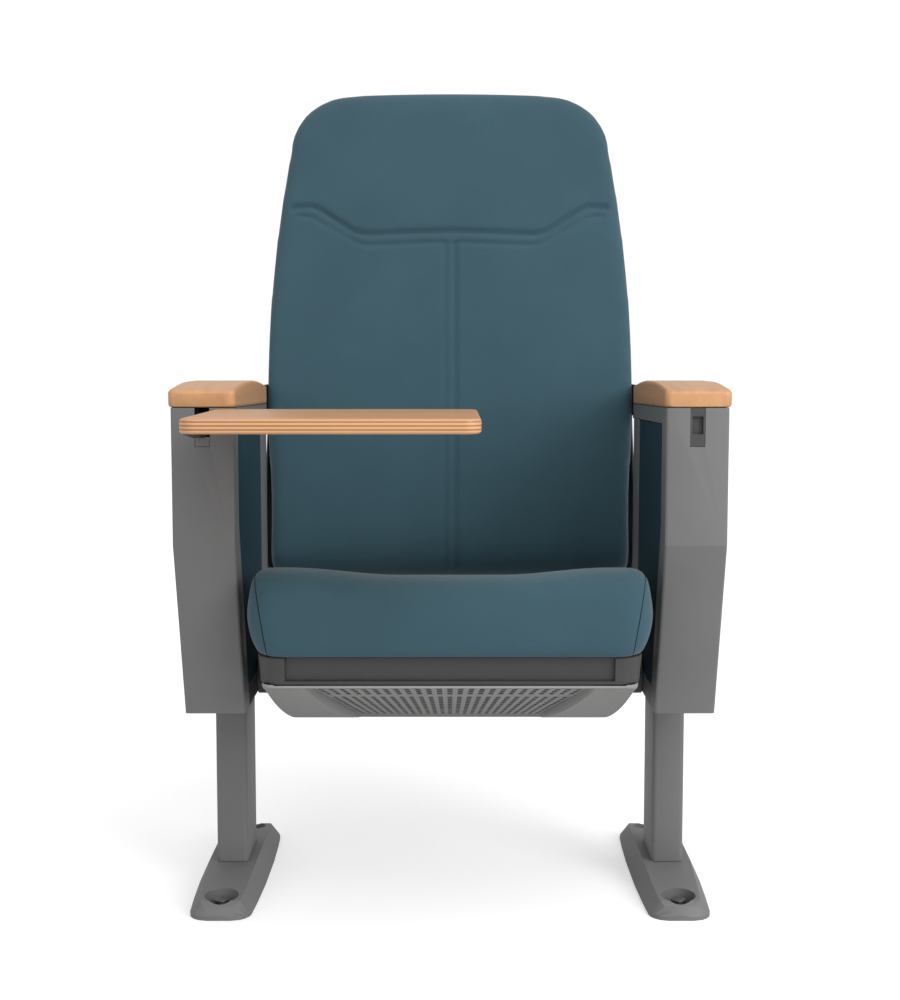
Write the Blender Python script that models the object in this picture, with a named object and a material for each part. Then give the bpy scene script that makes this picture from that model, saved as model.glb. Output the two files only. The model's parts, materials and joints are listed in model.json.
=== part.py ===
"""Tip-up lecture chair with a folding writing tablet, modelled piece by piece.

Metres, +Z up, the sitter faces -Y. X = 0 is the plane of symmetry. Lengths are set out from the
front plane of the armrests (Y = 0) and the floor (Z = 0); the last step moves the whole chair so
that its origin is the middle of its footprint. Paired pieces are shaped on the right and mirrored.
"""
import math

import bmesh
import bpy
from mathutils import Vector

# ---------------------------------------------------------------- driving dimensions
GAP = 0.0003                      # seating gap between neighbouring pieces

STANDARD_PITCH = 0.5596           # between the centre planes of the two standards
STANDARD_WIDTH = 0.0715
STANDARD_DEPTH = 0.320
STANDARD_TOP = 0.6215             # at the front
TOP_DROP = 0.0065                 # fall of the top edge from front to rear
BASE_BELOW_PIVOT = 0.020          # the standard's underside below the seat's axis
NOSE_CREASE = 0.465               # height where the front face starts to slope back
NOSE_RETREAT = 0.070              # how far back the front face is at the base
NOSE_BAND = 0.036                 # depth of the front band where it is upright
NOSE_BAND_LOW = 0.0425            # and along the slope
EDGE_RADIUS = 0.0035
REAR_BAND = 0.061
BASE_BAND = 0.026
RAIL_HEIGHT = 0.0185
WALL = 0.003
PANEL_THICKNESS = 0.003
PANEL_RECESS = 0.001
SLOT_WIDTH = 0.017
SLOT_HEIGHT = 0.044
WELL_REAR_WEB = 0.018             # rail left standing behind the tablet well
PLUG_DEPTH = 0.010
PLUG_RECESS = (0.0024, 0.0095, 0.0200, 0.006)   # side and top margins, height and depth

FOOT_FRONT_REACH = 0.132          # ahead of the column
FOOT_REAR_REACH = 0.122           # behind it
FOOT_HALF_WIDTH = 0.043
FOOT_WIDEST = 0.027               # the widest place, behind the foot's middle
FOOT_WAIST = 0.175                # how fast the plan narrows away from its widest place
FOOT_CORNER = 0.022
FOOT_HEIGHT = 0.030
FOOT_END_HEIGHT = 0.019
FOOT_LIP = 0.005
FOOT_DRAFT = 0.012
FOOT_END_STEP = 0.12              # share of the height that the very ends keep
BOLT_INSET = 0.031                # bolt axis from each end of the foot
COUNTERBORE_RADIUS = 0.021
COUNTERBORE_FLOOR = 0.007
BOLT_RADIUS = 0.005
BOLT_HEAD = (0.009, 0.007)        # radius and height
WASHER = (0.015, 0.0025)

COLUMN_WIDTH = 0.040
COLUMN_DEPTH = 0.092
COLUMN_SETBACK = 0.026            # of the column's rear from the standard's rear
COLUMN_CORNER = 0.006
COLUMN_WALL = 0.0025

ARMREST_OVERHANG_IN = 0.0014
ARMREST_OVERHANG_OUT = 0.0032
ARMREST_EDGE = 0.004
ARMREST_HEIGHT = 0.0195           # at the front
ARMREST_ARCH = 0.009              # rise of the crown over a straight top
ARMREST_REAR_FALL = 0.002         # the rear end is thinner by this
ARMREST_REAR_GAP = 0.0018         # lets the hinged armrest swing clear of the back bracket
LID_PIN_RADIUS = 0.0014
LID_PIN_INSET = 0.020             # from each end of the armrest

SEAT_SIDE_GAP = 0.02345           # between the pan and each standard
SEAT_FRONT = -0.020
SEAT_REAR_PAST = 0.005            # the pan's rear edge past the standards' rear
SEAT_CORNER = 0.028
CUSHION_CREST = 0.4395            # seat height
CUSHION_SIDE_GAP = 0.01205        # between the pad's bulge and each standard
CUSHION_HEIGHT = 0.0995           # crest over the pan
PAN_HEIGHT = 0.032
PAN_DRAFT = 0.003
COVER_SIDE_GAP = 0.02905          # between the cover and each standard
COVER_DEPTH = 0.108               # below the pan, at the lowest place
COVER_WALL = 0.0025
COVER_INSET = (0.004, 0.005)      # of the cover from the pan at the front and the rear
COVER_LIP = 0.003                 # straight drop at the front
COVER_HEEL = (0.040, 0.019, 0.006)  # lowest line and bend from the pan's rear, rise of the bend

PIVOT_FROM_REAR = 0.120           # the seat's axis ahead of the pan's rear edge
PIVOT_BELOW_PAN = 0.033
SHAFT_RADIUS = 0.012
SHAFT_WALL = 0.0025
HUB_WALL = 0.012                  # from the shaft's surface to the hub's
BUSH_WALL = 0.0027
BUSH_PROUD = 0.001
ARM_INSET = 0.019                 # each seat arm's inner face inside the cover's side
ARM_THICKNESS = 0.006
ARM_EYE_WALL = 0.011              # round the bush
ARM_HALF_TOP = 0.035
SPRING_CLEARANCE = 0.0035         # from the shaft to the middle of the wire
SPRING_WIRE = 0.0014
SPRING_TURNS = 4
SPRING_PITCH = 0.0045
SPRING_GAP = 0.006                # between the coil's end and the seat arm
STOP_WIDTH = 0.007
STOP_COLLAR_WALL = 0.008          # round the shaft
STOP_SIDE_GAP = 0.0023            # between a seat arm and its stop
STOP_UNDERCUT = 20                # degrees of the collar below its front face
STOP_REACH = (0.030, 0.012)       # front and rear of the stop, ahead of the pivot
STOP_PAD = 0.008

BACK_BOTTOM = 0.385
BACK_TOP = 1.047
BACK_OVERLAP = 0.00865            # how far each edge passes the standard's inner face
BACK_LEAN = 0.2035                # rearward lean per metre of height
BACK_SETBACK = 0.025              # of the knee from the standards' rear
BACK_KNEE_Z = 0.420               # where the front face starts to curl under
BACK_CURL = 16.0
BACK_PAD = 0.0335
PAD_INSET = 0.0025                # the pad's edge inside the rim of the shell
PAD_GAP = 0.0006                  # between the pad's back and that rim
SHELL_DEPTH = 0.022
SHELL_WALL = 0.004
BRACKET_PLATE = 0.0055
BRACKET_HEIGHT = 0.0425
BRACKET_RISE = 0.017              # over the standard's top edge
BRACKET_FLANGE = 0.045
BRACKET_BEND = (0.012, 0.020, 0.024)  # depths of the fold: root, outer and inner corner
BRACKET_END = 0.070               # the plate's end behind the back's front face
BRACKET_SCREW = (0.022, 0.011)    # screw axis from the plate's end and from its edges
SCREW_RADIUS = 0.0025
SCREW_HEAD = (0.005, 0.003)

TABLET_WIDTH = 0.2939
TABLET_INSET = 0.0106             # of its left edge from the side of its arm
TABLET_FRONT = -0.2645
TABLET_REAR = -0.010
TABLET_DROP = 0.016               # its underside below the standards' top
TABLET_THICKNESS = 0.0152
TABLET_CORNER = 0.018
TABLET_EDGE = 0.0035
PLATE_THICKNESS = 0.003
PLATE_WIDTH = 0.072
PLATE_SCREW = (0.018, 0.012)      # screw axis from the plate's long edge and from its ends
BARREL_LENGTH = 0.046
BARREL_RADIUS = 0.0042
BARREL_SETBACK = 0.026            # of the barrel from the board's rear edge
KNUCKLE_LENGTH = 0.012
FLIP_PIN_RADIUS = 0.0020
TABLET_ARM_SIDE_GAP = 0.0025      # in the slot
TABLET_ARM_DEPTH = 0.0145
TABLET_ARM_TIP = 0.007
TABLET_ARM_HAUNCH = (-0.030, 0.002)  # where the arm starts to thin, and its root
ARM_PIVOT_Y = 0.026
ARM_PIVOT_DROP = 0.0465           # below the standards' top
ARM_PIVOT_EYE = 0.012
ARM_PIN_RADIUS = 0.004

# ---------------------------------------------------------------- places worked out from them
CENTRE = STANDARD_PITCH / 2
INNER = CENTRE - STANDARD_WIDTH / 2
OUTER = CENTRE + STANDARD_WIDTH / 2
SEAT_HALF_WIDTH = INNER - SEAT_SIDE_GAP
CUSHION_BULGE = INNER - CUSHION_SIDE_GAP
COVER_HALF_WIDTH = INNER - COVER_SIDE_GAP
ARM_INNER = COVER_HALF_WIDTH - ARM_INSET
SEAT_REAR = STANDARD_DEPTH + SEAT_REAR_PAST
PAN_TOP = CUSHION_CREST - CUSHION_HEIGHT
PAN_BOTTOM = PAN_TOP - PAN_HEIGHT
PIVOT_Y = SEAT_REAR - PIVOT_FROM_REAR
PIVOT_Z = PAN_BOTTOM - PIVOT_BELOW_PAN
STANDARD_BASE = PIVOT_Z - BASE_BELOW_PIVOT
COLUMN_REAR = STANDARD_DEPTH - COLUMN_SETBACK
COLUMN_FRONT = COLUMN_REAR - COLUMN_DEPTH
FOOT_FRONT = COLUMN_FRONT - FOOT_FRONT_REACH
FOOT_REAR = COLUMN_REAR + FOOT_REAR_REACH
NOSE_SLOPE = NOSE_RETREAT / (NOSE_CREASE - STANDARD_BASE)
NOSE_KNEE = NOSE_CREASE + (NOSE_BAND_LOW - NOSE_BAND) / NOSE_SLOPE
BAND_TOP = STANDARD_BASE + BASE_BAND
REAR_START = STANDARD_DEPTH - REAR_BAND
PAN_UNDERSIDE = PAN_TOP - WALL - GAP
LID_AXIS_X = OUTER + GAP + LID_PIN_RADIUS
BACK_HALF_WIDTH = INNER + BACK_OVERLAP
BACK_KNEE_Y = STANDARD_DEPTH + BACK_SETBACK
BRACKET_TOP = STANDARD_TOP + BRACKET_RISE
TABLET_BOTTOM = STANDARD_TOP - TABLET_DROP
BARREL_REAR = TABLET_REAR - BARREL_SETBACK
TABLET_ARM_WIDTH = SLOT_WIDTH - 2 * TABLET_ARM_SIDE_GAP
TABLET_LEFT = TABLET_ARM_WIDTH / 2 + TABLET_INSET - CENTRE
ARM_PIVOT_Z = STANDARD_TOP - ARM_PIVOT_DROP
FLIP_X = TABLET_LEFT - BARREL_RADIUS - 2 * GAP
FLIP_Z = TABLET_BOTTOM - GAP - PLATE_THICKNESS / 2
BUSH_RADIUS = SHAFT_RADIUS + GAP + BUSH_WALL
HUB_RADIUS = SHAFT_RADIUS + HUB_WALL
ARM_EYE = BUSH_RADIUS + ARM_EYE_WALL
SPRING_RADIUS = SHAFT_RADIUS + SPRING_CLEARANCE
STOP_COLLAR = SHAFT_RADIUS + STOP_COLLAR_WALL
SIDES = {"left": -1, "right": 1}

FINISHES = {                      # colour, roughness, metallic
    "teal_cloth": ((0.060, 0.115, 0.145), 0.90, 0.0),
    "teal_panel": ((0.055, 0.105, 0.130), 0.80, 0.0),
    "grey_paint": ((0.170, 0.170, 0.170), 0.55, 0.0),
    "cast_grey": ((0.190, 0.190, 0.188), 0.60, 0.3),
    "dark_plastic": ((0.045, 0.045, 0.047), 0.50, 0.0),
    "light_plastic": ((0.230, 0.230, 0.225), 0.60, 0.0),
    "beech": ((0.620, 0.330, 0.160), 0.45, 0.0),
    "steel": ((0.450, 0.450, 0.450), 0.35, 1.0),
    "black_steel": ((0.030, 0.030, 0.032), 0.45, 0.6),
    "rubber": ((0.020, 0.020, 0.020), 0.90, 0.0),
}


# ---------------------------------------------------------------- outlines
def top_line(y, below=0.0):
    """Height of the standard's falling top edge at depth y, or of a line that far below it."""
    return STANDARD_TOP - TOP_DROP * y / STANDARD_DEPTH - below


def nose_front(z):
    """Depth of the standard's front face at height z."""
    return max(0.0, (NOSE_CREASE - z) * NOSE_SLOPE)


def back_front(z):
    """Depth of the back pad's front face at height z."""
    curl = BACK_CURL * min(0.0, z - BACK_KNEE_Z) ** 2
    return BACK_KNEE_Y + BACK_LEAN * (z - BACK_KNEE_Z) + curl


def arc(cx, cy, radius, start, end, steps):
    """Points on an arc, its angles in degrees."""
    angles = [math.radians(start + (end - start) * i / steps) for i in range(steps + 1)]
    return [(cx + radius * math.cos(a), cy + radius * math.sin(a)) for a in angles]


def circle(cx, cy, radius, steps=24):
    """Points round a whole circle."""
    return arc(cx, cy, radius, 0, 360, steps)[:-1]


def rectangle(x0, x1, y0, y1):
    """The four corners of a rectangle."""
    return [(x0, y0), (x1, y0), (x1, y1), (x0, y1)]


def rounded_rectangle(x0, x1, y0, y1, radius, steps=4):
    """A rectangle with four round corners."""
    radius = min(radius, 0.49 * (x1 - x0), 0.49 * (y1 - y0))
    return (arc(x1 - radius, y0 + radius, radius, -90, 0, steps)
            + arc(x1 - radius, y1 - radius, radius, 0, 90, steps)
            + arc(x0 + radius, y1 - radius, radius, 90, 180, steps)
            + arc(x0 + radius, y0 + radius, radius, 180, 270, steps))


def inset(outline, distance):
    """A convex anticlockwise outline with every side moved inwards."""
    lines = []
    for a, b in zip(outline, outline[1:] + outline[:1]):
        along = Vector(b) - Vector(a)
        along.normalize()
        lines.append((Vector(a) + distance * Vector((-along.y, along.x)), along))
    points = []
    for (p, d), (q, e) in zip(lines[-1:] + lines[:-1], lines):
        t = (q - p).cross(e) / d.cross(e)
        points.append(tuple(p + t * d))
    return points


# ---------------------------------------------------------------- solids
def lift(axis, point, level):
    """A flat outline's point as a point in space, at a level along the given axis."""
    a, b = point
    places = {"X": (level, a, b), "Y": (a, level, b), "Z": (a, b, level)}
    return places[axis]


def loft(rings, caps="flat"):
    """A mesh through equal rings. Its ends are flat faces, rungs across, or joined in a loop."""
    bm = bmesh.new()
    rows = [[bm.verts.new(point) for point in ring] for ring in rings]
    count = len(rows[0])
    pairs = list(zip(rows, rows[1:]))
    if caps == "loop":
        pairs.append((rows[-1], rows[0]))
    for low, high in pairs:
        for i in range(count):
            j = (i + 1) % count
            bm.faces.new((low[i], low[j], high[j], high[i]))
    if caps == "flat":
        bm.faces.new(rows[0])
        bm.faces.new(rows[-1])
    if caps == "rungs":
        for row in (rows[0], rows[-1]):
            for i in range(count // 2 - 1):
                bm.faces.new((row[i], row[i + 1], row[-2 - i], row[-1 - i]))
    return bm


def extrude(outline, axis, low, high):
    """A prism. Either level may be a function of the outline's point."""
    rings = []
    for level in (low, high):
        rings.append([lift(axis, p, level(p) if callable(level) else level) for p in outline])
    return loft(rings)


def box(x0, x1, y0, y1, z0, z1):
    """A plain block."""
    return extrude(rectangle(x0, x1, y0, y1), "Z", z0, z1)


def tube(outer, inner, axis, low, high):
    """A prism with a like hole right through it."""
    rings = [[lift(axis, p, level) for p in outline]
             for outline, level in ((outer, low), (outer, high), (inner, high), (inner, low))]
    return loft(rings, caps="loop")


def turned(cx, cy, profile, axis, steps=12):
    """A solid of revolution from (level, radius) pairs."""
    return loft([[lift(axis, p, level) for p in circle(cx, cy, radius, steps)]
                 for level, radius in profile])


def finish(name, key):
    """The piece's own material."""
    colour, roughness, metallic = FINISHES[key]
    material = bpy.data.materials.new(f"{name}_{key}")
    material.use_nodes = True
    shader = material.node_tree.nodes["Principled BSDF"]
    shader.inputs["Base Color"].default_value = (*colour, 1.0)
    shader.inputs["Roughness"].default_value = roughness
    shader.inputs["Metallic"].default_value = metallic
    return material


def link(name, data, parent):
    """Adds an object under the chair's root or under the empty on its joint's axis."""
    piece = bpy.data.objects.new(name, data)
    bpy.context.scene.collection.objects.link(piece)
    piece.parent = parent
    return piece


def settle(name, bm, side, parent):
    """Mirrors a bmesh to its side, measures it from its parent's axis and makes its object."""
    bmesh.ops.scale(bm, vec=(side, 1, 1), verts=bm.verts)
    if parent is not CHAIR:
        bmesh.ops.translate(bm, vec=-parent.location, verts=bm.verts)
    bmesh.ops.remove_doubles(bm, verts=bm.verts, dist=1e-6)
    bmesh.ops.recalc_face_normals(bm, faces=bm.faces)
    mesh = bpy.data.meshes.new(name)
    bm.to_mesh(mesh)
    bm.free()
    return link(name, mesh, parent)


def make(name, bm, key, side=1, parent=None, joins=(), cuts=()):
    """One named piece, with the solids that are joined to it and cut from it."""
    parent = parent or CHAIR
    piece = settle(name, bm, side, parent)
    tools = [("UNION", tool) for tool in joins] + [("DIFFERENCE", tool) for tool in cuts]
    for number, (operation, tool_mesh) in enumerate(tools):
        tool = settle(f"{name}_tool{number}", tool_mesh, side, parent)
        tool.hide_render = True
        tool.display_type = "WIRE"
        modifier = piece.modifiers.new(operation.lower(), "BOOLEAN")
        modifier.operation = operation
        modifier.solver = "EXACT"
        modifier.object = tool
    piece.data.materials.append(finish(name, key))
    piece.data.shade_smooth()
    piece.data.set_sharp_from_angle(angle=math.radians(30))
    return piece


def empty(name, place):
    """An empty on a joint's axis."""
    axis = link(name, None, CHAIR)
    axis.location = place
    return axis


# ---------------------------------------------------------------- feet and columns
def foot_section(y):
    """The cast foot's cross-section at depth y."""
    widest = (FOOT_FRONT + FOOT_REAR) / 2 + FOOT_WIDEST
    from_end = min(y - FOOT_FRONT, FOOT_REAR - y)
    half = FOOT_HALF_WIDTH - FOOT_WAIST * (y - widest) ** 2
    if from_end < FOOT_CORNER:
        half -= FOOT_CORNER - math.sqrt(FOOT_CORNER ** 2 - (FOOT_CORNER - from_end) ** 2)
    if y < COLUMN_FRONT:
        share = (y - FOOT_FRONT) / FOOT_FRONT_REACH
    else:
        share = (FOOT_REAR - y) / FOOT_REAR_REACH
    top = FOOT_END_HEIGHT + (FOOT_HEIGHT - FOOT_END_HEIGHT) * min(1.0, share)
    rise = FOOT_END_STEP + (1 - FOOT_END_STEP) * min(1.0, from_end / FOOT_DRAFT)
    top = FOOT_LIP + (top - FOOT_LIP) * rise
    deck = half - FOOT_DRAFT
    outline = [(-half, 0.0), (half, 0.0), (half, FOOT_LIP), (deck, top), (-deck, top),
               (-half, FOOT_LIP)]
    return [(CENTRE + x, y, z) for x, z in outline]


def build_foot(label, side):
    """A cast foot with two counterbored floor bolts."""
    corner = [FOOT_CORNER * (1 - math.cos(math.radians(a))) for a in (0, 30, 50, 70, 90)]
    stations = [FOOT_FRONT + c for c in corner]
    stations += [(FOOT_FRONT + COLUMN_FRONT) / 2, COLUMN_FRONT, COLUMN_REAR,
                 (COLUMN_REAR + FOOT_REAR) / 2]
    stations += [FOOT_REAR - c for c in reversed(corner)]
    cuts = []
    for place, y in (("front", FOOT_FRONT + BOLT_INSET), ("rear", FOOT_REAR - BOLT_INSET)):
        hole = BOLT_RADIUS + 2 * GAP
        cuts.append(turned(CENTRE, y, [(-0.01, hole), (COUNTERBORE_FLOOR, hole),
                                       (COUNTERBORE_FLOOR, COUNTERBORE_RADIUS),
                                       (2 * FOOT_HEIGHT, COUNTERBORE_RADIUS)], "Z", 24))
        seat = COUNTERBORE_FLOOR + GAP
        washer_radius, washer_height = WASHER
        head_radius, head_height = BOLT_HEAD
        profile = [(2 * GAP, BOLT_RADIUS), (seat, BOLT_RADIUS), (seat, washer_radius),
                   (seat + washer_height, washer_radius), (seat + washer_height, head_radius),
                   (seat + washer_height + head_height, head_radius)]
        make(f"foot_bolt_{place}_{label}", turned(CENTRE, y, profile, "Z"), "steel", side)
    body = loft([foot_section(y) for y in stations])
    make(f"foot_{label}", body, "cast_grey", side, cuts=cuts)


def build_column(label, side):
    """The oval steel tube between foot and base tray."""
    x0, x1 = CENTRE - COLUMN_WIDTH / 2, CENTRE + COLUMN_WIDTH / 2
    y0, y1 = COLUMN_FRONT, COLUMN_REAR
    wall = COLUMN_WALL
    outer = rounded_rectangle(x0, x1, y0, y1, COLUMN_CORNER)
    inner = rounded_rectangle(x0 + wall, x1 - wall, y0 + wall, y1 - wall, COLUMN_CORNER - wall)
    shape = tube(outer, inner, "Z", FOOT_HEIGHT + GAP, STANDARD_BASE - GAP)
    make(f"column_{label}", shape, "grey_paint", side)


# ---------------------------------------------------------------- standards
def casing_section(front, rear, z, round_front, round_rear, wall=0.0):
    """A rectangle of the standard's width with round corners at its front or rear, at height z."""
    x0, x1 = INNER + wall, OUTER - wall
    radius = EDGE_RADIUS - wall if wall < EDGE_RADIUS else 0.0
    front_radius = radius if round_front else 0.00005
    rear_radius = radius if round_rear else 0.00005
    outline = (arc(x1 - front_radius, front + front_radius, front_radius, -90, 0, 3)
               + arc(x1 - rear_radius, rear - rear_radius, rear_radius, 0, 90, 3)
               + arc(x0 + rear_radius, rear - rear_radius, rear_radius, 90, 180, 3)
               + arc(x0 + front_radius, front + front_radius, front_radius, 180, 270, 3))
    return [(x, y, z(y) if callable(z) else z) for x, y in outline]


def build_nose(label, side):
    """The front casing, a channel that follows the front face down and back."""
    levels = ((STANDARD_BASE, NOSE_BAND_LOW), (NOSE_CREASE, NOSE_BAND_LOW),
              (NOSE_KNEE, NOSE_BAND))
    outer = [casing_section(nose_front(z), nose_front(z) + band, z, True, False)
             for z, band in levels]
    outer.append(casing_section(0.0, NOSE_BAND, top_line, True, False))
    x0, x1 = INNER + WALL, OUTER - WALL
    cavity = []
    for z in (STANDARD_BASE + WALL, NOSE_CREASE, 2 * STANDARD_TOP):
        front = nose_front(z) + WALL
        cavity.append([(x, y, z) for x, y in rectangle(x0, x1, front, front + 2 * NOSE_BAND)])
    slot = box(CENTRE - SLOT_WIDTH / 2, CENTRE + SLOT_WIDTH / 2, -WALL, 2 * WALL,
               STANDARD_TOP - SLOT_HEIGHT, 2 * STANDARD_TOP)
    make(f"nose_cover_{label}", loft(outer), "grey_paint", side, cuts=[loft(cavity), slot])


def build_rear_casing(label, side):
    """The base tray on the column, and the rear casing that stands on it."""
    def front(z):
        return nose_front(z) + NOSE_BAND_LOW + GAP
    tray = [casing_section(front(z), STANDARD_DEPTH, z, False, True)
            for z in (STANDARD_BASE, BAND_TOP)]
    x0, x1 = INNER + WALL, OUTER - WALL
    cavity = box(x0, x1, front(STANDARD_BASE) + WALL, STANDARD_DEPTH - WALL,
                 STANDARD_BASE + WALL, 2 * BAND_TOP)
    make(f"base_tray_{label}", loft(tray), "grey_paint", side, cuts=[cavity])
    cover = [casing_section(REAR_START, STANDARD_DEPTH, BAND_TOP + GAP, False, True),
             casing_section(REAR_START, STANDARD_DEPTH,
                            lambda y: top_line(y, RAIL_HEIGHT + GAP), False, True)]
    cavity = box(x0, x1, REAR_START - WALL, STANDARD_DEPTH - WALL, 0.0, 2 * STANDARD_TOP)
    make(f"rear_cover_{label}", loft(cover), "grey_paint", side, cuts=[cavity])


def build_rail(label, side):
    """The top rail, open in the middle where the tablet drops into the standard."""
    front = NOSE_BAND + GAP
    outline = rectangle(INNER, OUTER, front, STANDARD_DEPTH)
    rail = extrude(outline, "Z", lambda p: top_line(p[1], RAIL_HEIGHT), lambda p: top_line(p[1]))
    well = box(CENTRE - SLOT_WIDTH / 2, CENTRE + SLOT_WIDTH / 2, front - WALL,
               STANDARD_DEPTH - WELL_REAR_WEB, STANDARD_BASE, 2 * STANDARD_TOP)
    make(f"top_rail_{label}", rail, "grey_paint", side, cuts=[well])


def build_panels(label, side):
    """The upholstered panels that close the standard's inner and outer faces."""
    low = BAND_TOP + GAP
    outline = [(nose_front(low) + NOSE_BAND_LOW + GAP, low), (REAR_START - GAP, low),
               (REAR_START - GAP, top_line(REAR_START, RAIL_HEIGHT + GAP)),
               (NOSE_BAND + GAP, top_line(NOSE_BAND, RAIL_HEIGHT + GAP)),
               (NOSE_BAND + GAP, NOSE_KNEE)]
    for face, x in (("inner", INNER + PANEL_RECESS),
                    ("outer", OUTER - PANEL_RECESS - PANEL_THICKNESS)):
        shape = extrude(outline, "X", x, x + PANEL_THICKNESS)
        make(f"{face}_panel_{label}", shape, "teal_panel", side)


def build_armrest(label, side, parent):
    """The arched beech armrest on the standard's top edge."""
    def section(y, pull):
        share = y / STANDARD_DEPTH
        crown = STANDARD_TOP + ARMREST_HEIGHT + 4 * ARMREST_ARCH * share * (1 - share)
        crown -= ARMREST_REAR_FALL * share
        outline = rounded_rectangle(INNER - ARMREST_OVERHANG_IN + pull,
                                    OUTER + ARMREST_OVERHANG_OUT - pull,
                                    top_line(y) + GAP + pull, crown - pull, ARMREST_EDGE, 3)
        return [(x, y, z) for x, z in outline]
    rings = [section(ARMREST_EDGE * (1 - math.cos(a)), ARMREST_EDGE * (1 - math.sin(a)))
             for a in (0.0, math.radians(45), math.radians(90))]
    rings += [section(STANDARD_DEPTH * share, 0.0) for share in (0.18, 0.36, 0.56, 0.74, 0.88)]
    rear = STANDARD_DEPTH - ARMREST_REAR_GAP
    rings += [section(rear - ARMREST_EDGE * (1 - math.cos(a)),
                      ARMREST_EDGE * (1 - math.sin(a)))
              for a in (math.radians(90), math.radians(45), 0.0)]
    make(f"armrest_{label}", loft(rings), "beech", side, parent)


def build_bracket(label, side):
    """The folded plate that carries the back, with its two screws into the shell."""
    start = STANDARD_DEPTH + GAP
    face = BACK_HALF_WIDTH + GAP
    outside = face + BRACKET_PLATE
    low = BRACKET_TOP - BRACKET_HEIGHT
    end = back_front((low + BRACKET_TOP) / 2) + BRACKET_END
    root, outer_bend, inner_bend = BRACKET_BEND
    outline = [(INNER + GAP, start), (INNER + BRACKET_FLANGE, start),
               (INNER + BRACKET_FLANGE, start + BRACKET_PLATE), (outside, start + outer_bend),
               (outside, end), (face, end), (face, start + inner_bend), (INNER + GAP, start + root)]
    head_radius, head_height = SCREW_HEAD
    from_end, from_edge = BRACKET_SCREW
    y = end - from_end
    cuts = []
    for place, z in (("lower", low + from_edge), ("upper", BRACKET_TOP - from_edge)):
        hole = SCREW_RADIUS + GAP
        cuts.append(turned(y, z, [(INNER, hole), (OUTER, hole)], "X"))
        head = outside + GAP
        profile = [(face + GAP, SCREW_RADIUS), (head, SCREW_RADIUS), (head, head_radius),
                   (head + head_height, head_radius * 0.8)]
        make(f"bracket_screw_{place}_{label}", turned(y, z, profile, "X"), "black_steel", side)
    make(f"back_bracket_{label}", extrude(outline, "Z", low, BRACKET_TOP), "dark_plastic", side,
         cuts=cuts)


# ---------------------------------------------------------------- seat
def build_seat_side(label, side, seat_axis):
    """One end of the tip-up mechanism: hub, arm, bush, return spring and stop."""
    shaft_clear = SHAFT_RADIUS + GAP
    bore = circle(PIVOT_Y, PIVOT_Z, shaft_clear)
    hub = tube(circle(PIVOT_Y, PIVOT_Z, HUB_RADIUS), bore, "X", COVER_HALF_WIDTH + 2 * GAP,
               INNER - GAP)
    make(f"seat_hub_{label}", hub, "dark_plastic", side)
    outline = arc(PIVOT_Y, PIVOT_Z, ARM_EYE, 180, 360, 12)
    outline += [(PIVOT_Y + ARM_HALF_TOP, PAN_UNDERSIDE), (PIVOT_Y - ARM_HALF_TOP, PAN_UNDERSIDE)]
    plate = extrude(outline, "X", ARM_INNER, ARM_INNER + ARM_THICKNESS)
    eye = turned(PIVOT_Y, PIVOT_Z, [(0.0, BUSH_RADIUS + GAP), (OUTER, BUSH_RADIUS + GAP)], "X", 24)
    make(f"seat_arm_{label}", plate, "black_steel", side, seat_axis, cuts=[eye])
    bush = tube(circle(PIVOT_Y, PIVOT_Z, BUSH_RADIUS), bore, "X", ARM_INNER - BUSH_PROUD,
                ARM_INNER + ARM_THICKNESS + BUSH_PROUD)
    make(f"seat_bush_{label}", bush, "rubber", side, seat_axis)
    build_spring(label, side, seat_axis)
    inner = ARM_INNER + ARM_THICKNESS + STOP_SIDE_GAP
    front, rear = STOP_REACH
    shelf = PAN_UNDERSIDE - STOP_PAD - GAP
    start = 180 + STOP_UNDERCUT
    end = 360 + math.degrees(math.acos(-rear / STOP_COLLAR))
    outline = arc(PIVOT_Y, PIVOT_Z, STOP_COLLAR, start, end, 16)
    outline += [(PIVOT_Y - rear, shelf), (PIVOT_Y - front, shelf), (PIVOT_Y - front, PIVOT_Z)]
    collar = extrude(outline, "X", inner, inner + STOP_WIDTH)
    hole = turned(PIVOT_Y, PIVOT_Z, [(0.0, shaft_clear), (OUTER, shaft_clear)], "X", 24)
    make(f"stop_collar_{label}", collar, "black_steel", side, cuts=[hole])
    pad = box(inner, inner + STOP_WIDTH, PIVOT_Y - front, PIVOT_Y - rear, shelf + GAP,
              PAN_UNDERSIDE)
    make(f"stop_pad_{label}", pad, "rubber", side)


def build_spring(label, side, seat_axis):
    """A torsion spring round the shaft, its leg pushing up under the pan."""
    per_turn = 10
    count = SPRING_TURNS * per_turn
    start = ARM_INNER - SPRING_GAP - SPRING_TURNS * SPRING_PITCH
    points = []
    for step in range(count + 1):
        angle = 2 * math.pi * step / per_turn
        points.append((side * (start + SPRING_PITCH * step / per_turn),
                       SPRING_RADIUS * math.cos(angle), SPRING_RADIUS * math.sin(angle)))
    x, y, _ = points[-1]
    points.append((x, y, PAN_UNDERSIDE - PIVOT_Z))
    name = f"return_spring_{label}"
    curve = bpy.data.curves.new(name, "CURVE")
    curve.dimensions = "3D"
    curve.bevel_depth = SPRING_WIRE
    curve.bevel_resolution = 1
    curve.use_fill_caps = True
    spline = curve.splines.new("POLY")
    spline.points.add(len(points) - 1)
    for point, place in zip(spline.points, points):
        point.co = (*place, 1.0)
    curve.materials.append(finish(name, "steel"))
    link(name, curve, seat_axis)


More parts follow.
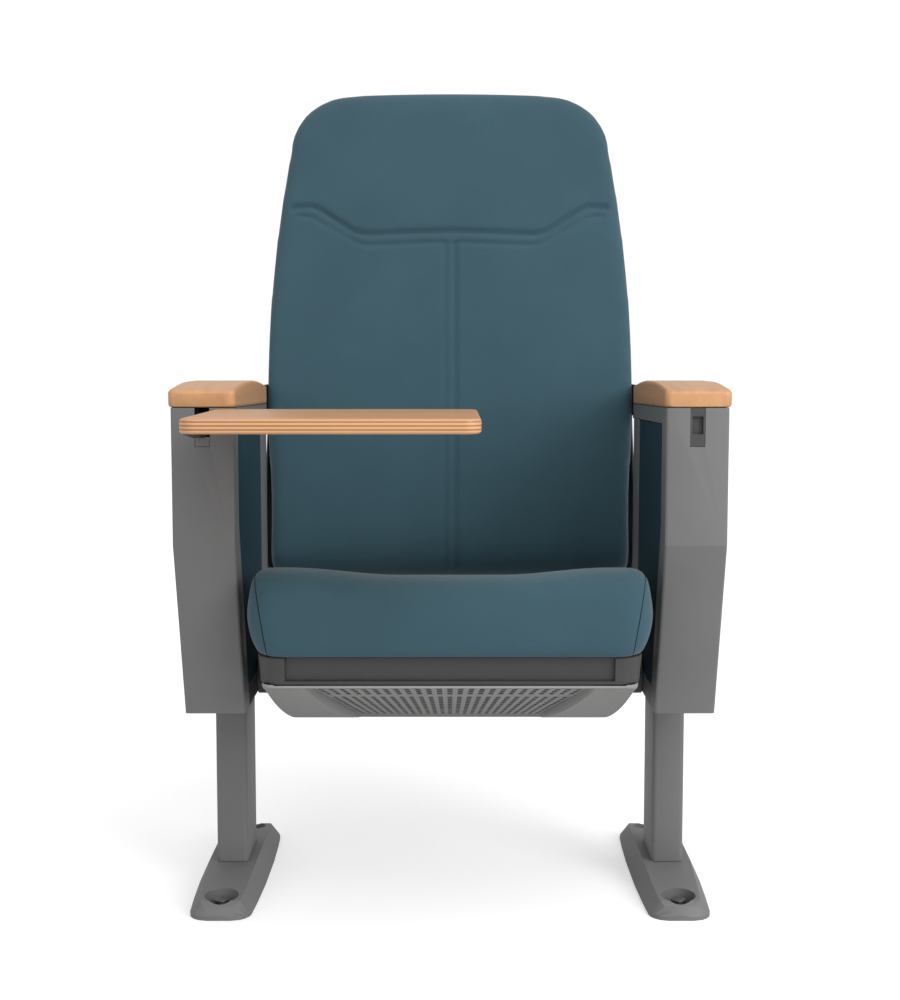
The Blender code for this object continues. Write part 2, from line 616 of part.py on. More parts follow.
def build_seat(seat_axis):
    """Shaft, pan, perforated underside cover and cushion."""
    reach = INNER - GAP
    shaft = tube(circle(PIVOT_Y, PIVOT_Z, SHAFT_RADIUS),
                 circle(PIVOT_Y, PIVOT_Z, SHAFT_RADIUS - SHAFT_WALL), "X", -reach, reach)
    make("seat_shaft", shaft, "black_steel")
    rings = []
    for z, pull in ((PAN_BOTTOM, PAN_DRAFT), (PAN_TOP, 0.0)):
        half = SEAT_HALF_WIDTH - pull
        outline = rounded_rectangle(-half, half, SEAT_FRONT + pull, SEAT_REAR - pull, SEAT_CORNER)
        rings.append([(x, y, z) for x, y in outline])
    half = SEAT_HALF_WIDTH - PAN_DRAFT - WALL
    hollow = rounded_rectangle(-half, half, SEAT_FRONT + PAN_DRAFT + WALL,
                               SEAT_REAR - PAN_DRAFT - WALL, SEAT_CORNER - WALL)
    make("seat_pan", loft(rings), "dark_plastic", 1, seat_axis,
         cuts=[extrude(hollow, "Z", 0.0, PAN_TOP - WALL)])

    rim = PAN_BOTTOM - GAP
    low = rim - COVER_DEPTH
    inset_front, inset_rear = COVER_INSET
    front, rear = SEAT_FRONT + inset_front, SEAT_REAR - inset_rear
    heel, bend, bend_rise = COVER_HEEL
    outline = [(front, rim), (front, rim - COVER_LIP), (SEAT_REAR - heel, low),
               (SEAT_REAR - bend, low + bend_rise), (rear, rim)]
    shell = extrude(outline, "X", -COVER_HALF_WIDTH, COVER_HALF_WIDTH)
    raised = [(front, rim + PAN_HEIGHT), *outline[1:-1], (rear, rim + PAN_HEIGHT)]
    hollow = inset(raised, COVER_WALL)
    inside = COVER_HALF_WIDTH - COVER_WALL
    clear = SHAFT_RADIUS + 5 * GAP
    cuts = [extrude(hollow, "X", -inside, inside),
            turned(PIVOT_Y, PIVOT_Z, [(-OUTER, clear), (OUTER, clear)], "X", 24)]
    make("seat_cover", shell, "light_plastic", 1, seat_axis, cuts=cuts)
    build_seat_cushion(seat_axis)


def build_seat_cushion(seat_axis):
    """The upholstered pad as a plain closed form."""
    base = PAN_TOP + GAP
    crest = CUSHION_CREST
    profile = [(SEAT_FRONT - 0.001, base), (SEAT_REAR - 0.007, base), (SEAT_REAR + 0.003, crest - 0.0775),
               (SEAT_REAR + 0.003, crest - 0.0355), (SEAT_REAR - 0.010, crest - 0.021),
               (PIVOT_Y + 0.020, crest - 0.014), (SEAT_FRONT + 0.140, crest - 0.007),
               (SEAT_FRONT + 0.060, crest - 0.001), (SEAT_FRONT + 0.025, crest),
               (SEAT_FRONT - 0.002, crest - 0.012), (SEAT_FRONT - 0.015, crest - 0.038),
               (SEAT_FRONT - 0.014, crest - 0.0695)]
    middle = Vector(((SEAT_FRONT + SEAT_REAR) / 2, crest - CUSHION_HEIGHT / 2))
    rings = []
    for x, share in ((-CUSHION_BULGE, 0.90), (-CUSHION_BULGE + 0.005, 0.965),
                     (-CUSHION_BULGE + 0.020, 1.0), (0.0, 1.0), (CUSHION_BULGE - 0.020, 1.0),
                     (CUSHION_BULGE - 0.005, 0.965), (CUSHION_BULGE, 0.90)):
        ring = []
        for y, z in profile:
            place = middle + (Vector((y, z)) - middle) * share
            ring.append((x, place.x, max(base, place.y)))
        rings.append(ring)
    make("seat_cushion", loft(rings), "teal_cloth", 1, seat_axis)


# ---------------------------------------------------------------- back
def back_half_width(share):
    """Half-width of the back at a share of its height, as a share of the widest place."""
    taper = 1.0 - 0.105 * max(0.0, (share - 0.45) / 0.47) ** 2.3
    toe = 1.0 - 0.030 * max(0.0, (0.14 - share) / 0.14) ** 2
    return taper * toe


def back_outline(pull):
    """Front view of the back, drawn in by a distance: right side going up, left coming down."""
    height = BACK_TOP - BACK_BOTTOM
    shares = [0.0, 0.012, 0.026, 0.042, 0.06, 0.16, 0.32, 0.48, 0.62, 0.74, 0.84, 0.915]
    right = [(BACK_HALF_WIDTH * back_half_width(s), BACK_BOTTOM + s * height) for s in shares]
    right[0] = (right[0][0] - 0.012, right[0][1])
    x, z = right[-1]
    crown = 0.006
    corner_x, corner_z = x * 0.80, BACK_TOP - z - crown
    for degrees in (22, 45, 68, 90):
        angle = math.radians(degrees)
        right.append((x - (x - corner_x) * (1 - math.cos(angle)), z + corner_z * math.sin(angle)))
    right.append((x * 0.45, BACK_TOP - 0.0012))
    right.append((x * 0.12, BACK_TOP))
    middle = (BACK_TOP + BACK_BOTTOM) / 2
    scale_x = 1 - pull / BACK_HALF_WIDTH
    scale_z = 1 - 2 * pull / height
    right = [(x * scale_x, middle + (z - middle) * scale_z) for x, z in right]
    return right + [(-x, z) for x, z in reversed(right)]


def back_ring(pull, depth):
    """The back's outline at a depth behind its front face."""
    return [(x, back_front(z) + depth, z) for x, z in back_outline(pull)]


def build_back():
    """The pad and the dished shell behind it."""
    layers = ((PAD_INSET + 0.016, 0.0), (PAD_INSET + 0.007, 0.0035), (PAD_INSET + 0.002, 0.011),
              (PAD_INSET, 0.020), (PAD_INSET, BACK_PAD - PAD_GAP))
    pad = loft([back_ring(pull, depth) for pull, depth in layers], caps="rungs")
    make("back_cushion", pad, "teal_cloth")
    rim = BACK_PAD
    floor = rim + SHELL_DEPTH
    layers = ((0.026, floor - SHELL_WALL), (SHELL_WALL, rim + 0.010), (SHELL_WALL, rim),
              (0.0, rim), (0.0, rim + 0.010), (0.022, floor))
    shell = loft([back_ring(pull, depth) for pull, depth in layers], caps="rungs")
    make("back_shell", shell, "dark_plastic")


# ---------------------------------------------------------------- tablet
def build_tablet(flip_axis):
    """The writing board, its hinge plate and screws, on the arm that comes out of the nose."""
    x0, x1 = TABLET_LEFT, TABLET_LEFT + TABLET_WIDTH
    rings = []
    for end in (0, 1):
        for degrees in ((0, 45, 90) if end == 0 else (90, 45, 0)):
            angle = math.radians(degrees)
            pull = TABLET_EDGE * (1 - math.sin(angle))
            rise = TABLET_EDGE * (1 - math.cos(angle))
            z = TABLET_BOTTOM + (rise if end == 0 else TABLET_THICKNESS - rise)
            outline = rounded_rectangle(x0 + pull, x1 - pull, TABLET_FRONT + pull,
                                        TABLET_REAR - pull, TABLET_CORNER - pull, 5)
            rings.append([(x, y, z) for x, y in outline])
    make("tablet_board", loft(rings), "beech", 1, flip_axis)

    barrel_front = BARREL_REAR - BARREL_LENGTH
    half = PLATE_THICKNESS / 2
    lean = math.degrees(math.asin(half / BARREL_RADIUS))
    outline = arc(FLIP_X, FLIP_Z, BARREL_RADIUS, lean, 360 - lean, 14)
    outline += [(FLIP_X + PLATE_WIDTH, FLIP_Z - half), (FLIP_X + PLATE_WIDTH, FLIP_Z + half)]
    plate = extrude(outline, "Y", barrel_front, BARREL_REAR)
    hole = FLIP_PIN_RADIUS + GAP
    cuts = [turned(FLIP_X, FLIP_Z, [(-1.0, hole), (0.5, hole)], "Y")]
    head_radius, head_height = SCREW_HEAD
    from_edge, from_end = PLATE_SCREW
    x = FLIP_X + PLATE_WIDTH - from_edge
    for place, y in (("front", barrel_front + from_end), ("rear", BARREL_REAR - from_end)):
        clear = SCREW_RADIUS + GAP
        cuts.append(turned(x, y, [(0.5, clear), (0.7, clear)], "Z"))
        head = FLIP_Z - half - GAP
        profile = [(head - head_height, head_radius * 0.8), (head, head_radius),
                   (head, SCREW_RADIUS), (TABLET_BOTTOM - GAP, SCREW_RADIUS)]
        make(f"tablet_screw_{place}", turned(x, y, profile, "Z"), "steel", 1, flip_axis)
    make("tablet_plate", plate, "black_steel", 1, flip_axis, cuts=cuts)
    build_tablet_arm(barrel_front)


def build_tablet_arm(barrel_front):
    """The cranked arm with its eye in the nose and two knuckles for the flip pin."""
    tip = barrel_front - GAP - KNUCKLE_LENGTH
    top = FLIP_Z
    haunch, root = TABLET_ARM_HAUNCH
    outline = arc(ARM_PIVOT_Y, ARM_PIVOT_Z, ARM_PIVOT_EYE, -110, 90, 12)
    outline += [(ARM_PIVOT_Y - ARM_PIVOT_EYE, top), (tip, top), (tip, top - TABLET_ARM_TIP),
                (haunch, top - TABLET_ARM_DEPTH), (root, top - TABLET_ARM_DEPTH)]
    x = -CENTRE
    arm = extrude(outline, "X", x - TABLET_ARM_WIDTH / 2, x + TABLET_ARM_WIDTH / 2)
    joins = []
    for y0, y1 in ((tip, tip + KNUCKLE_LENGTH),
                   (BARREL_REAR + GAP, BARREL_REAR + GAP + KNUCKLE_LENGTH)):
        half = BARREL_RADIUS
        knuckle = rectangle(x, FLIP_X, FLIP_Z - half, FLIP_Z)[:2]
        knuckle += arc(FLIP_X, FLIP_Z, half, -60, 120, 8)
        knuckle += [(FLIP_X - half, FLIP_Z), (x, FLIP_Z - 0.001)]
        joins.append(extrude(knuckle, "Y", y0, y1))
    flip_hole = FLIP_PIN_RADIUS + GAP
    pivot_hole = ARM_PIN_RADIUS + GAP
    cuts = [turned(FLIP_X, FLIP_Z, [(-1.0, flip_hole), (0.5, flip_hole)], "Y"),
            turned(ARM_PIVOT_Y, ARM_PIVOT_Z, [(-1.0, pivot_hole), (1.0, pivot_hole)], "X", 16)]
    make("tablet_arm", arm, "black_steel", joins=joins, cuts=cuts)
    rear = BARREL_REAR + GAP + KNUCKLE_LENGTH
    pin = turned(FLIP_X, FLIP_Z, [(tip, FLIP_PIN_RADIUS), (rear, FLIP_PIN_RADIUS)], "Y")
    make("tablet_flip_pin", pin, "steel")
    ends = [(INNER + WALL + GAP, ARM_PIN_RADIUS), (OUTER - WALL - GAP, ARM_PIN_RADIUS)]
    make("arm_pivot_pin", turned(ARM_PIVOT_Y, ARM_PIVOT_Z, ends, "X"), "steel", -1)


def build_slot_plug():
    """The blanking plug with a square finger recess in the standard that holds no tablet."""
    top = STANDARD_TOP - GAP
    low = STANDARD_TOP - SLOT_HEIGHT + GAP
    half = SLOT_WIDTH / 2 - GAP
    side_margin, top_margin, height, depth = PLUG_RECESS
    width = SLOT_WIDTH / 2 - side_margin
    recess_top = top - top_margin
    recess = box(CENTRE - width, CENTRE + width, -WALL, depth, recess_top - height, recess_top)
    plug = box(CENTRE - half, CENTRE + half, 0.0005, PLUG_DEPTH, low, top)
    make("slot_plug", plug, "dark_plastic", cuts=[recess])


def build_lid_pin():
    """The long hinge pin under the left armrest's outer edge."""
    rings = []
    for y in (LID_PIN_INSET, STANDARD_DEPTH - LID_PIN_INSET):
        z = top_line(y) - LID_PIN_RADIUS
        rings.append([(px, y, pz) for px, pz in circle(LID_AXIS_X, z, LID_PIN_RADIUS, 8)])
    make("lid_hinge_pin", loft(rings), "black_steel", -1)


def stand_on_origin():
    """Moves the chair so that its origin is under the middle of its bounding box."""
    bpy.context.view_layer.update()
    graph = bpy.context.evaluated_depsgraph_get()
    places = []
    for piece in bpy.context.scene.objects:
        if piece.type in {"MESH", "CURVE"} and not piece.hide_render:
            seen = piece.evaluated_get(graph)
            mesh = seen.to_mesh()
            places += [(seen.matrix_world @ vertex.co).y for vertex in mesh.vertices]
            seen.to_mesh_clear()
    CHAIR.location.y = -(min(places) + max(places)) / 2
    bpy.context.view_layer.update()


for old in list(bpy.data.objects):
    bpy.data.objects.remove(old, do_unlink=True)

CHAIR = bpy.data.objects.new("chair", None)
bpy.context.scene.collection.objects.link(CHAIR)
SEAT_AXIS = empty("seat_axis", (0.0, PIVOT_Y, PIVOT_Z))
LID_AXIS = empty("lid_axis", (-LID_AXIS_X, 0.0, STANDARD_TOP - LID_PIN_RADIUS))
FLIP_AXIS = empty("flip_axis", (FLIP_X, BARREL_REAR, FLIP_Z))

for name_of_side, sign in SIDES.items():
    build_foot(name_of_side, sign)
    build_column(name_of_side, sign)
    build_nose(name_of_side, sign)
    build_rear_casing(name_of_side, sign)
    build_rail(name_of_side, sign)
    build_panels(name_of_side, sign)
    build_armrest(name_of_side, sign, LID_AXIS if sign < 0 else None)
    build_bracket(name_of_side, sign)
    build_seat_side(name_of_side, sign, SEAT_AXIS)
build_seat(SEAT_AXIS)
build_back()
build_tablet(FLIP_AXIS)
build_slot_plug()
build_lid_pin()
stand_on_origin()
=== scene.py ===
"""The finish of a tip-up lecture chair: upholstery, timber, paint and mouldings round its frame.

Every length is in metres in the frame's own axes: +X to the right of someone facing the chair, +Y to
the rear and +Z up. Places come from the frame's own boxes.
"""
import json
import logging
import math
from dataclasses import dataclass, field
from enum import Enum
from typing import Callable, Sequence

import bmesh
import bpy
import numpy as np
from mathutils import Matrix, Vector
from mathutils.bvhtree import BVHTree


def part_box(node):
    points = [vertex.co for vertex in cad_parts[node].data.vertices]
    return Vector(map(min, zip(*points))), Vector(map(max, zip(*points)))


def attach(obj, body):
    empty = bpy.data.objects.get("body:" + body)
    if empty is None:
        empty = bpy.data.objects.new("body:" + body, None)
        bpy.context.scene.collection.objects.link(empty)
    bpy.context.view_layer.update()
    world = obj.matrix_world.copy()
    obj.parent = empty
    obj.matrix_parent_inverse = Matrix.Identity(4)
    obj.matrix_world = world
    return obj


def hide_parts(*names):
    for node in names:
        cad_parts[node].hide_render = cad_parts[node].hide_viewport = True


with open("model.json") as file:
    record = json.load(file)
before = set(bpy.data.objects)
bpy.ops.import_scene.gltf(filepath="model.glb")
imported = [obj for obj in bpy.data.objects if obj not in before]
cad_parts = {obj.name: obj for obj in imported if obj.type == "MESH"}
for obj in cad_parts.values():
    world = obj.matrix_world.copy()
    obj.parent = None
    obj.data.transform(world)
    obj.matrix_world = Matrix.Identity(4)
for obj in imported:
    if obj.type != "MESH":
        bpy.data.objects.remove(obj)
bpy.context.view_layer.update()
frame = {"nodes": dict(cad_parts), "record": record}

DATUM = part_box("armrest_right")[0][1]          # depth of the armrests' front ends
LOG = logging.getLogger("chair")
Point = tuple[float, float, float]
Flat = tuple[float, float]
Object = bpy.types.Object
Socket = bpy.types.NodeSocket
SIDES = {"left": -1, "right": 1}
BLACK, WHITE = (0.0, 0.0, 0.0), (1.0, 1.0, 1.0)


# ---------------------------------------------------------------- node trees
def configure(target: object, settings: dict[str, object]) -> None:
    """Sets several of a thing's properties."""
    for key, value in settings.items():
        setattr(target, key, value)


def arithmetic(operation: str, swap: bool = False) -> Callable:
    """A method that joins its value to another with a Math node.

    Args:
        operation: what the node does.
        swap: puts the other value first.

    Returns:
        The method.
    """
    def method(self: "Value", other: "Value | float" = 0.0) -> "Value":
        """The node's result."""
        return self.nodes.maths(operation, *((other, self) if swap else (self, other)))
    return method


class Value:
    """A node's output, which adds Math nodes when it is used in plain arithmetic."""

    def __init__(self, nodes: "Nodes", socket: Socket) -> None:
        """Keeps the output and the tree that it belongs to."""
        self.nodes = nodes
        self.socket = socket

    __add__, __mul__, __truediv__ = map(arithmetic, ("ADD", "MULTIPLY", "DIVIDE"))
    __sub__, __rsub__ = arithmetic("SUBTRACT"), arithmetic("SUBTRACT", swap=True)
    __abs__, __lt__ = arithmetic("ABSOLUTE"), arithmetic("LESS_THAN")


class Nodes:
    """A node tree with short ways to add and join its nodes."""

    def __init__(self, tree: bpy.types.NodeTree) -> None:
        """Keeps the tree."""
        self.tree = tree

    def feed(self, socket: Socket, value: object) -> None:
        """Links a value to a socket, or sets a constant there.

        Args:
            socket: the input.
            value: a Value or a constant; a constant colour has three parts.
        """
        if isinstance(value, Value):
            self.tree.links.new(value.socket, socket)
        else:
            socket.default_value = (*value, 1.0) if socket.type == "RGBA" else value

    def node(self, kind: str, settings: dict | None = None, **inputs: object) -> bpy.types.Node:
        """Adds a node.

        Args:
            kind: the node's type, with or without a ShaderNode prefix.
            settings: properties of the node itself.
            inputs: values by socket name, underscores for spaces, or i0, i1 by number.

        Returns:
            The new node.
        """
        node = self.tree.nodes.new(kind if "Node" in kind else "ShaderNode" + kind)
        configure(node, settings or {})
        for key, value in inputs.items():
            name = int(key[1:]) if key[1:].isdigit() else key.replace("_", " ")
            self.feed(node.inputs[name], value)
        return node

    def add(self, kind: str, output: str | int = 0, settings: dict | None = None,
            **inputs: object) -> Value:
        """Adds a node, as node does, and gives one of its outputs."""
        return Value(self, self.node(kind, settings, **inputs).outputs[output])

    def maths(self, operation: str, first: object, second: object = 0.0) -> Value:
        """The result of one Math node."""
        return self.add("Math", 0, {"operation": operation}, i0=first, i1=second)

    def split(self, vector: Value) -> list[Value]:
        """A vector's three parts."""
        return [Value(self, part) for part in self.node("SeparateXYZ", Vector=vector).outputs]


class Graph(Nodes):
    """A material's nodes round its Principled shader."""

    def __init__(self, name: str) -> None:
        """Makes the material and keeps its Principled shader."""
        self.material = bpy.data.materials.new(name)
        self.material.use_nodes = True
        super().__init__(self.material.node_tree)
        self.shader = self.tree.nodes["Principled BSDF"]
        self.coordinates = self.add("TexCoord", "Object")

    def placed(self, scale: Point) -> Value:
        """Object coordinates, stretched."""
        return self.add("Mapping", Vector=self.coordinates, Scale=scale)

    def noise(self, vector: Value, scale: float, detail: float = 3.0,
              roughness: float = 0.5) -> Value:
        """A noise texture's value at a place."""
        return self.add("TexNoise", "Fac", Vector=vector, Scale=scale, Detail=detail,
                        Roughness=roughness)

    def ramp(self, factor: Value, *stops: tuple[float, tuple]) -> Value:
        """A colour ramp.

        Args:
            factor: the place along the ramp.
            stops: each stop's place and colour.

        Returns:
            The colour.
        """
        node = self.node("ValToRGB", Fac=factor)
        band = node.color_ramp
        while len(band.elements) < len(stops):
            band.elements.new(0.5)
        for element, (place, colour) in zip(band.elements, stops):
            element.position = place
            element.color = (*colour, 1.0)
        return Value(self, node.outputs["Color"])

    def mix(self, factor: Value, first: object, second: object) -> Value:
        """Two colours mixed by a factor."""
        return self.add("Mix", 2, {"data_type": "RGBA"}, i0=factor, i6=first, i7=second)

    def bump(self, height: Value, distance: float, strength: float = 1.0,
             under: Value | None = None) -> Value:
        """Roughens the surface.

        Args:
            height: the bumps' height.
            distance: the height in metres at 1.
            strength: the bumps' share.
            under: a normal below this one.

        Returns:
            The normal.
        """
        base = {} if under is None else {"Normal": under}
        return self.add("Bump", "Normal", Height=height, Distance=distance, Strength=strength,
                        **base)

    def finish(self, **inputs: object) -> bpy.types.Material:
        """Wires the Principled shader's named inputs and returns the material."""
        for name, value in inputs.items():
            self.feed(self.shader.inputs[name.replace("_", " ")], value)
        return self.material


def shade(colour: tuple, factor: float) -> tuple:
    """A colour made lighter or darker."""
    return tuple(min(1.0, channel * factor) for channel in colour)


@dataclass(frozen=True)
class Finish:
    """A material's name and main colour."""

    name: str
    colour: tuple

    def tone(self, factor: float) -> tuple:
        """The colour made lighter or darker."""
        return shade(self.colour, factor)

    def build(self) -> bpy.types.Material:
        """Makes the material."""
        raise NotImplementedError


@dataclass(frozen=True)
class ClothFinish(Finish):
    """Plain-woven upholstery with soft mottling and a faint bloom at grazing angles."""

    thread: float = 0.0011
    weave_depth: float = 0.00010
    sheen: float = 0.17
    specular: float = 0.18

    def build(self) -> bpy.types.Material:
        """Makes the material: warp runs up and over the pad, weft runs across it."""
        g = Graph(self.name)
        x, y, z = g.split(g.coordinates)
        turns = 2 * math.pi / self.thread
        weave = g.maths("SINE", x * turns) * g.maths("SINE", (y + z) * turns)
        slub = g.noise(g.placed((1.0, 0.25, 0.25)), 420.0, 2.0)
        cloud = g.noise(g.coordinates, 9.0, 3.0, 0.55)
        fleck = g.noise(g.coordinates, 900.0, 1.0)
        colour = g.ramp(cloud, (0.28, self.tone(0.91)), (0.72, self.tone(1.08)))
        for factor, tone in (((weave * 0.5 + 0.5) * 0.22, 1.5), (slub * 0.20, 0.62),
                             (fleck * 0.10, 1.9)):
            colour = g.mix(factor, colour, self.tone(tone))
        normal = g.bump(cloud, 0.004, 0.10, g.bump(weave, self.weave_depth, 0.8))
        return g.finish(Base_Color=colour, Roughness=slub * 0.10 + 0.80, Normal=normal,
                        Sheen_Weight=self.sheen, Sheen_Roughness=0.45,
                        Specular_IOR_Level=self.specular)


class Grain(Enum):
    """Which way the timber's grain runs."""

    ALONG_Y = (26.0, 1.6, 26.0)
    ALONG_X = (1.6, 26.0, 26.0)


@dataclass(frozen=True)
class TimberFinish(Finish):
    """Lacquered steamed beech: straight soft figure with short dark rays."""

    grain: Grain
    ply_pitch: float = 0.0
    ply_base: float = 0.0

    def build(self) -> bpy.types.Material:
        """Makes the material, with bare plies where a ply pitch is given."""
        g = Graph(self.name)
        figure, wide, rays = (
            g.noise(g.placed(tuple(v * stretch for v in self.grain.value)), scale, detail, rough)
            for stretch, scale, detail, rough in ((1.0, 2.2, 4.0, 0.55), (0.3, 1.6, 2.0, 0.5),
                                                  (9.0, 3.2, 2.0, 0.6)))
        colour = g.ramp(figure, (0.30, self.tone(0.80)), (0.52, self.colour),
                        (0.72, self.tone(1.14)))
        colour = g.mix(wide * 0.35, colour, self.tone(1.22))
        ray_mask = g.ramp(rays, (0.60, BLACK), (0.68, WHITE))
        colour = g.mix(ray_mask * 0.16, colour, self.tone(0.55))
        height = figure
        if self.ply_pitch:
            colour, height = self.plies(g, colour, figure)
        return g.finish(Base_Color=colour, Roughness=figure * 0.12 + 0.36,
                        Normal=g.bump(height, 0.00025, 0.35), Coat_Weight=0.12,
                        Coat_Roughness=0.25, Specular_IOR_Level=0.35)

    def plies(self, g: Graph, face: Value, figure: Value) -> tuple[Value, Value]:
        """Swaps the face veneer for bands of alternate plies wherever the surface is upright.

        Args:
            g: the material's graph.
            face: the face veneer's colour.
            figure: the grain's value.

        Returns:
            The colour and the height of the whole surface.
        """
        level = (g.split(g.coordinates)[2] - self.ply_base) / self.ply_pitch
        wave = g.maths("SINE", level * (2 * math.pi)) + (figure - 0.5) * 0.8
        band = g.ramp(wave * 0.5 + 0.5, (0.18, BLACK), (0.62, WHITE))
        edge = g.mix(band, self.tone(0.60), self.tone(1.28))
        up = g.split(g.add("NewGeometry", "True Normal"))[2]
        upright = g.ramp(abs(up), (0.45, WHITE), (0.75, BLACK))
        return g.mix(upright, face, edge), upright * band


@dataclass(frozen=True)
class PaintFinish(Finish):
    """Fine textured powder coat, with a painted highlight along its sharp edges."""

    roughness: float = 0.52
    texture: float = 0.00006
    texture_scale: float = 1400.0
    metallic: float = 0.0

    def build(self) -> bpy.types.Material:
        """Makes the material."""
        g = Graph(self.name)
        orange = g.noise(g.coordinates, self.texture_scale, 2.0)
        cloud = g.noise(g.coordinates, 14.0, 4.0, 0.6)
        # Painted highlight: sharp convex edges, found by pointiness, are lightened towards 1.6 times
        # the colour.
        edge = g.ramp(g.add("NewGeometry", "Pointiness"), (0.50, BLACK), (0.58, WHITE))
        colour = g.ramp(cloud, (0.30, self.tone(0.95)), (0.70, self.tone(1.05)))
        colour = g.mix(orange * 0.14, colour, self.tone(1.35))
        colour = g.mix(edge * 0.20, colour, self.tone(1.6))
        return g.finish(Base_Color=colour, Roughness=cloud * 0.14 + (self.roughness - 0.07),
                        Normal=g.bump(orange, self.texture, 0.7), Metallic=self.metallic,
                        Specular_IOR_Level=0.45)


@dataclass(frozen=True)
class MetalFinish(Finish):
    """Bright or blackened steel with fine turning marks."""

    roughness: float = 0.32

    def build(self) -> bpy.types.Material:
        """Makes the material."""
        g = Graph(self.name)
        marks = g.noise(g.placed((1.0, 1.0, 14.0)), 240.0, 3.0)
        stain = g.noise(g.coordinates, 40.0, 3.0)
        colour = g.ramp(stain, (0.30, self.tone(0.85)), (0.70, self.tone(1.1)))
        return g.finish(Base_Color=colour, Roughness=marks * 0.2 + (self.roughness - 0.1),
                        Normal=g.bump(marks, 0.00004, 0.6), Metallic=1.0)


@dataclass(frozen=True)
class RubberFinish(Finish):
    """Matte black rubber with a faint bloom."""

    colour: tuple = (0.018, 0.018, 0.018)
    specular: float = 0.3

    def build(self) -> bpy.types.Material:
        """Makes the material."""
        g = Graph(self.name)
        dust = g.noise(g.coordinates, 120.0, 3.0)
        colour = g.ramp(dust, (0.35, self.colour), (0.75, self.tone(1.9)))
        return g.finish(Base_Color=colour, Roughness=0.86, Normal=g.bump(dust, 0.0001, 0.4),
                        Specular_IOR_Level=self.specular)


TEAL = (0.036, 0.080, 0.104)
BEECH = (0.500, 0.262, 0.124)
GREY = (0.125, 0.125, 0.125)
FINISHES = {finish.name: finish for finish in (
    ClothFinish("teal_cloth", TEAL),
    # teal_panel is the same cloth darkened to 0.62 as painted shade for the side panels, which sit in
    # shade between the seat and the standards; its sheen is off and its specular low.
    ClothFinish("teal_panel", shade(TEAL, 0.62), sheen=0.0, specular=0.06),
    TimberFinish("beech", BEECH, Grain.ALONG_Y),
    TimberFinish("plywood", BEECH, Grain.ALONG_X, 0.00385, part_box("tablet_board")[0][2] + 0.0015),
    PaintFinish("grey_paint", GREY),
    PaintFinish("cast_grey", shade(GREY, 1.08), 0.58, 0.00012, 700.0),
    PaintFinish("dark_plastic", (0.040, 0.040, 0.041), 0.50, 0.00008, 1100.0),
    PaintFinish("light_plastic", (0.235, 0.235, 0.232), 0.55, 0.00008, 1100.0),
    PaintFinish("black_steel", (0.028, 0.028, 0.030), 0.42, 0.00004, 1600.0, 0.5),
    MetalFinish("steel", (0.22, 0.22, 0.215), 0.42),
    RubberFinish("rubber"),
    # A near-black, barely reflective finish: painted shade for the seat's inside seen through the
    # vent slots and for the creases along the seat's seams.
    RubberFinish("painted_shade_black", (0.006, 0.006, 0.006), 0.05))}
MATERIALS: dict[str, bpy.types.Material] = {}
SLOTS = {entry["node"]: entry["material_slot"] for entry in frame["record"]["subparts"]}
BODIES = {node: body for body, nodes in frame["record"]["behaviour"]["bodies"].items()
          for node in nodes}


def material(key: str) -> bpy.types.Material:
    """The material of a finish, made the first time it is asked for."""
    if key not in MATERIALS:
        MATERIALS[key] = FINISHES[key].build()
    return MATERIALS[key]


# ---------------------------------------------------------------- mesh helpers
def thread(path: Sequence[Vector], radius: float, sides: int = 6) -> bmesh.types.BMesh:
    """A thin closed tube along a path.

    Args:
        path: the places that it follows.
        radius: its radius.
        sides: the number of its sides.

    Returns:
        The tube's mesh.
    """
    rings = []
    for i, place in enumerate(path):
        along = (path[min(i + 1, len(path) - 1)] - path[max(i - 1, 0)]).normalized()
        across = along.cross(Vector((0.37, 0.21, 0.91))).normalized()
        other = along.cross(across)
        rings.append([tuple(place + radius * (math.cos(a) * across + math.sin(a) * other))
                      for a in (2 * math.pi * k / sides for k in range(sides))])
    return loft(rings)


def smoothstep(low: float, high: float, value: float) -> float:
    """0 below low, 1 above high and a smooth rise between them."""
    share = min(1.0, max(0.0, (value - low) / (high - low)))
    return share * share * (3 - 2 * share)


def arc(cx: float, cy: float, radius: float, start: float, end: float, steps: int) -> list[Flat]:
    """Points on an arc, its angles in degrees."""
    angles = [math.radians(start + (end - start) * i / steps) for i in range(steps + 1)]
    return [(cx + radius * math.cos(a), cy + radius * math.sin(a)) for a in angles]


def rounded_rectangle(x0: float, x1: float, y0: float, y1: float, radius: float,
                      steps: int = 6) -> list[Flat]:
    """A rectangle with four round corners, anticlockwise.

    Args:
        x0, x1, y0, y1: its sides.
        radius: its corners' radius.
        steps: the number of sides of each corner.

    Returns:
        The outline.
    """
    return (arc(x1 - radius, y0 + radius, radius, -90, 0, steps)
            + arc(x1 - radius, y1 - radius, radius, 0, 90, steps)
            + arc(x0 + radius, y1 - radius, radius, 90, 180, steps)
            + arc(x0 + radius, y0 + radius, radius, 180, 270, steps))


def densify(outline: Sequence[Flat], step: float) -> list[Flat]:
    """Adds points to a closed outline until no side is longer than the step.

    Args:
        outline: the outline.
        step: the longest side.

    Returns:
        The denser outline.
    """
    points = []
    for (ax, ay), (bx, by) in zip(outline, list(outline[1:]) + [outline[0]]):
        count = max(1, math.ceil(math.hypot(bx - ax, by - ay) / step))
        points += [(ax + (bx - ax) * i / count, ay + (by - ay) * i / count)
                   for i in range(count)]
    return points


class Ends(Enum):
    """How the ends of a loft are closed."""

    FLAT = "one face"
    RUNGS = "faces across mirrored points"
    FAN = "triangles to the middle"


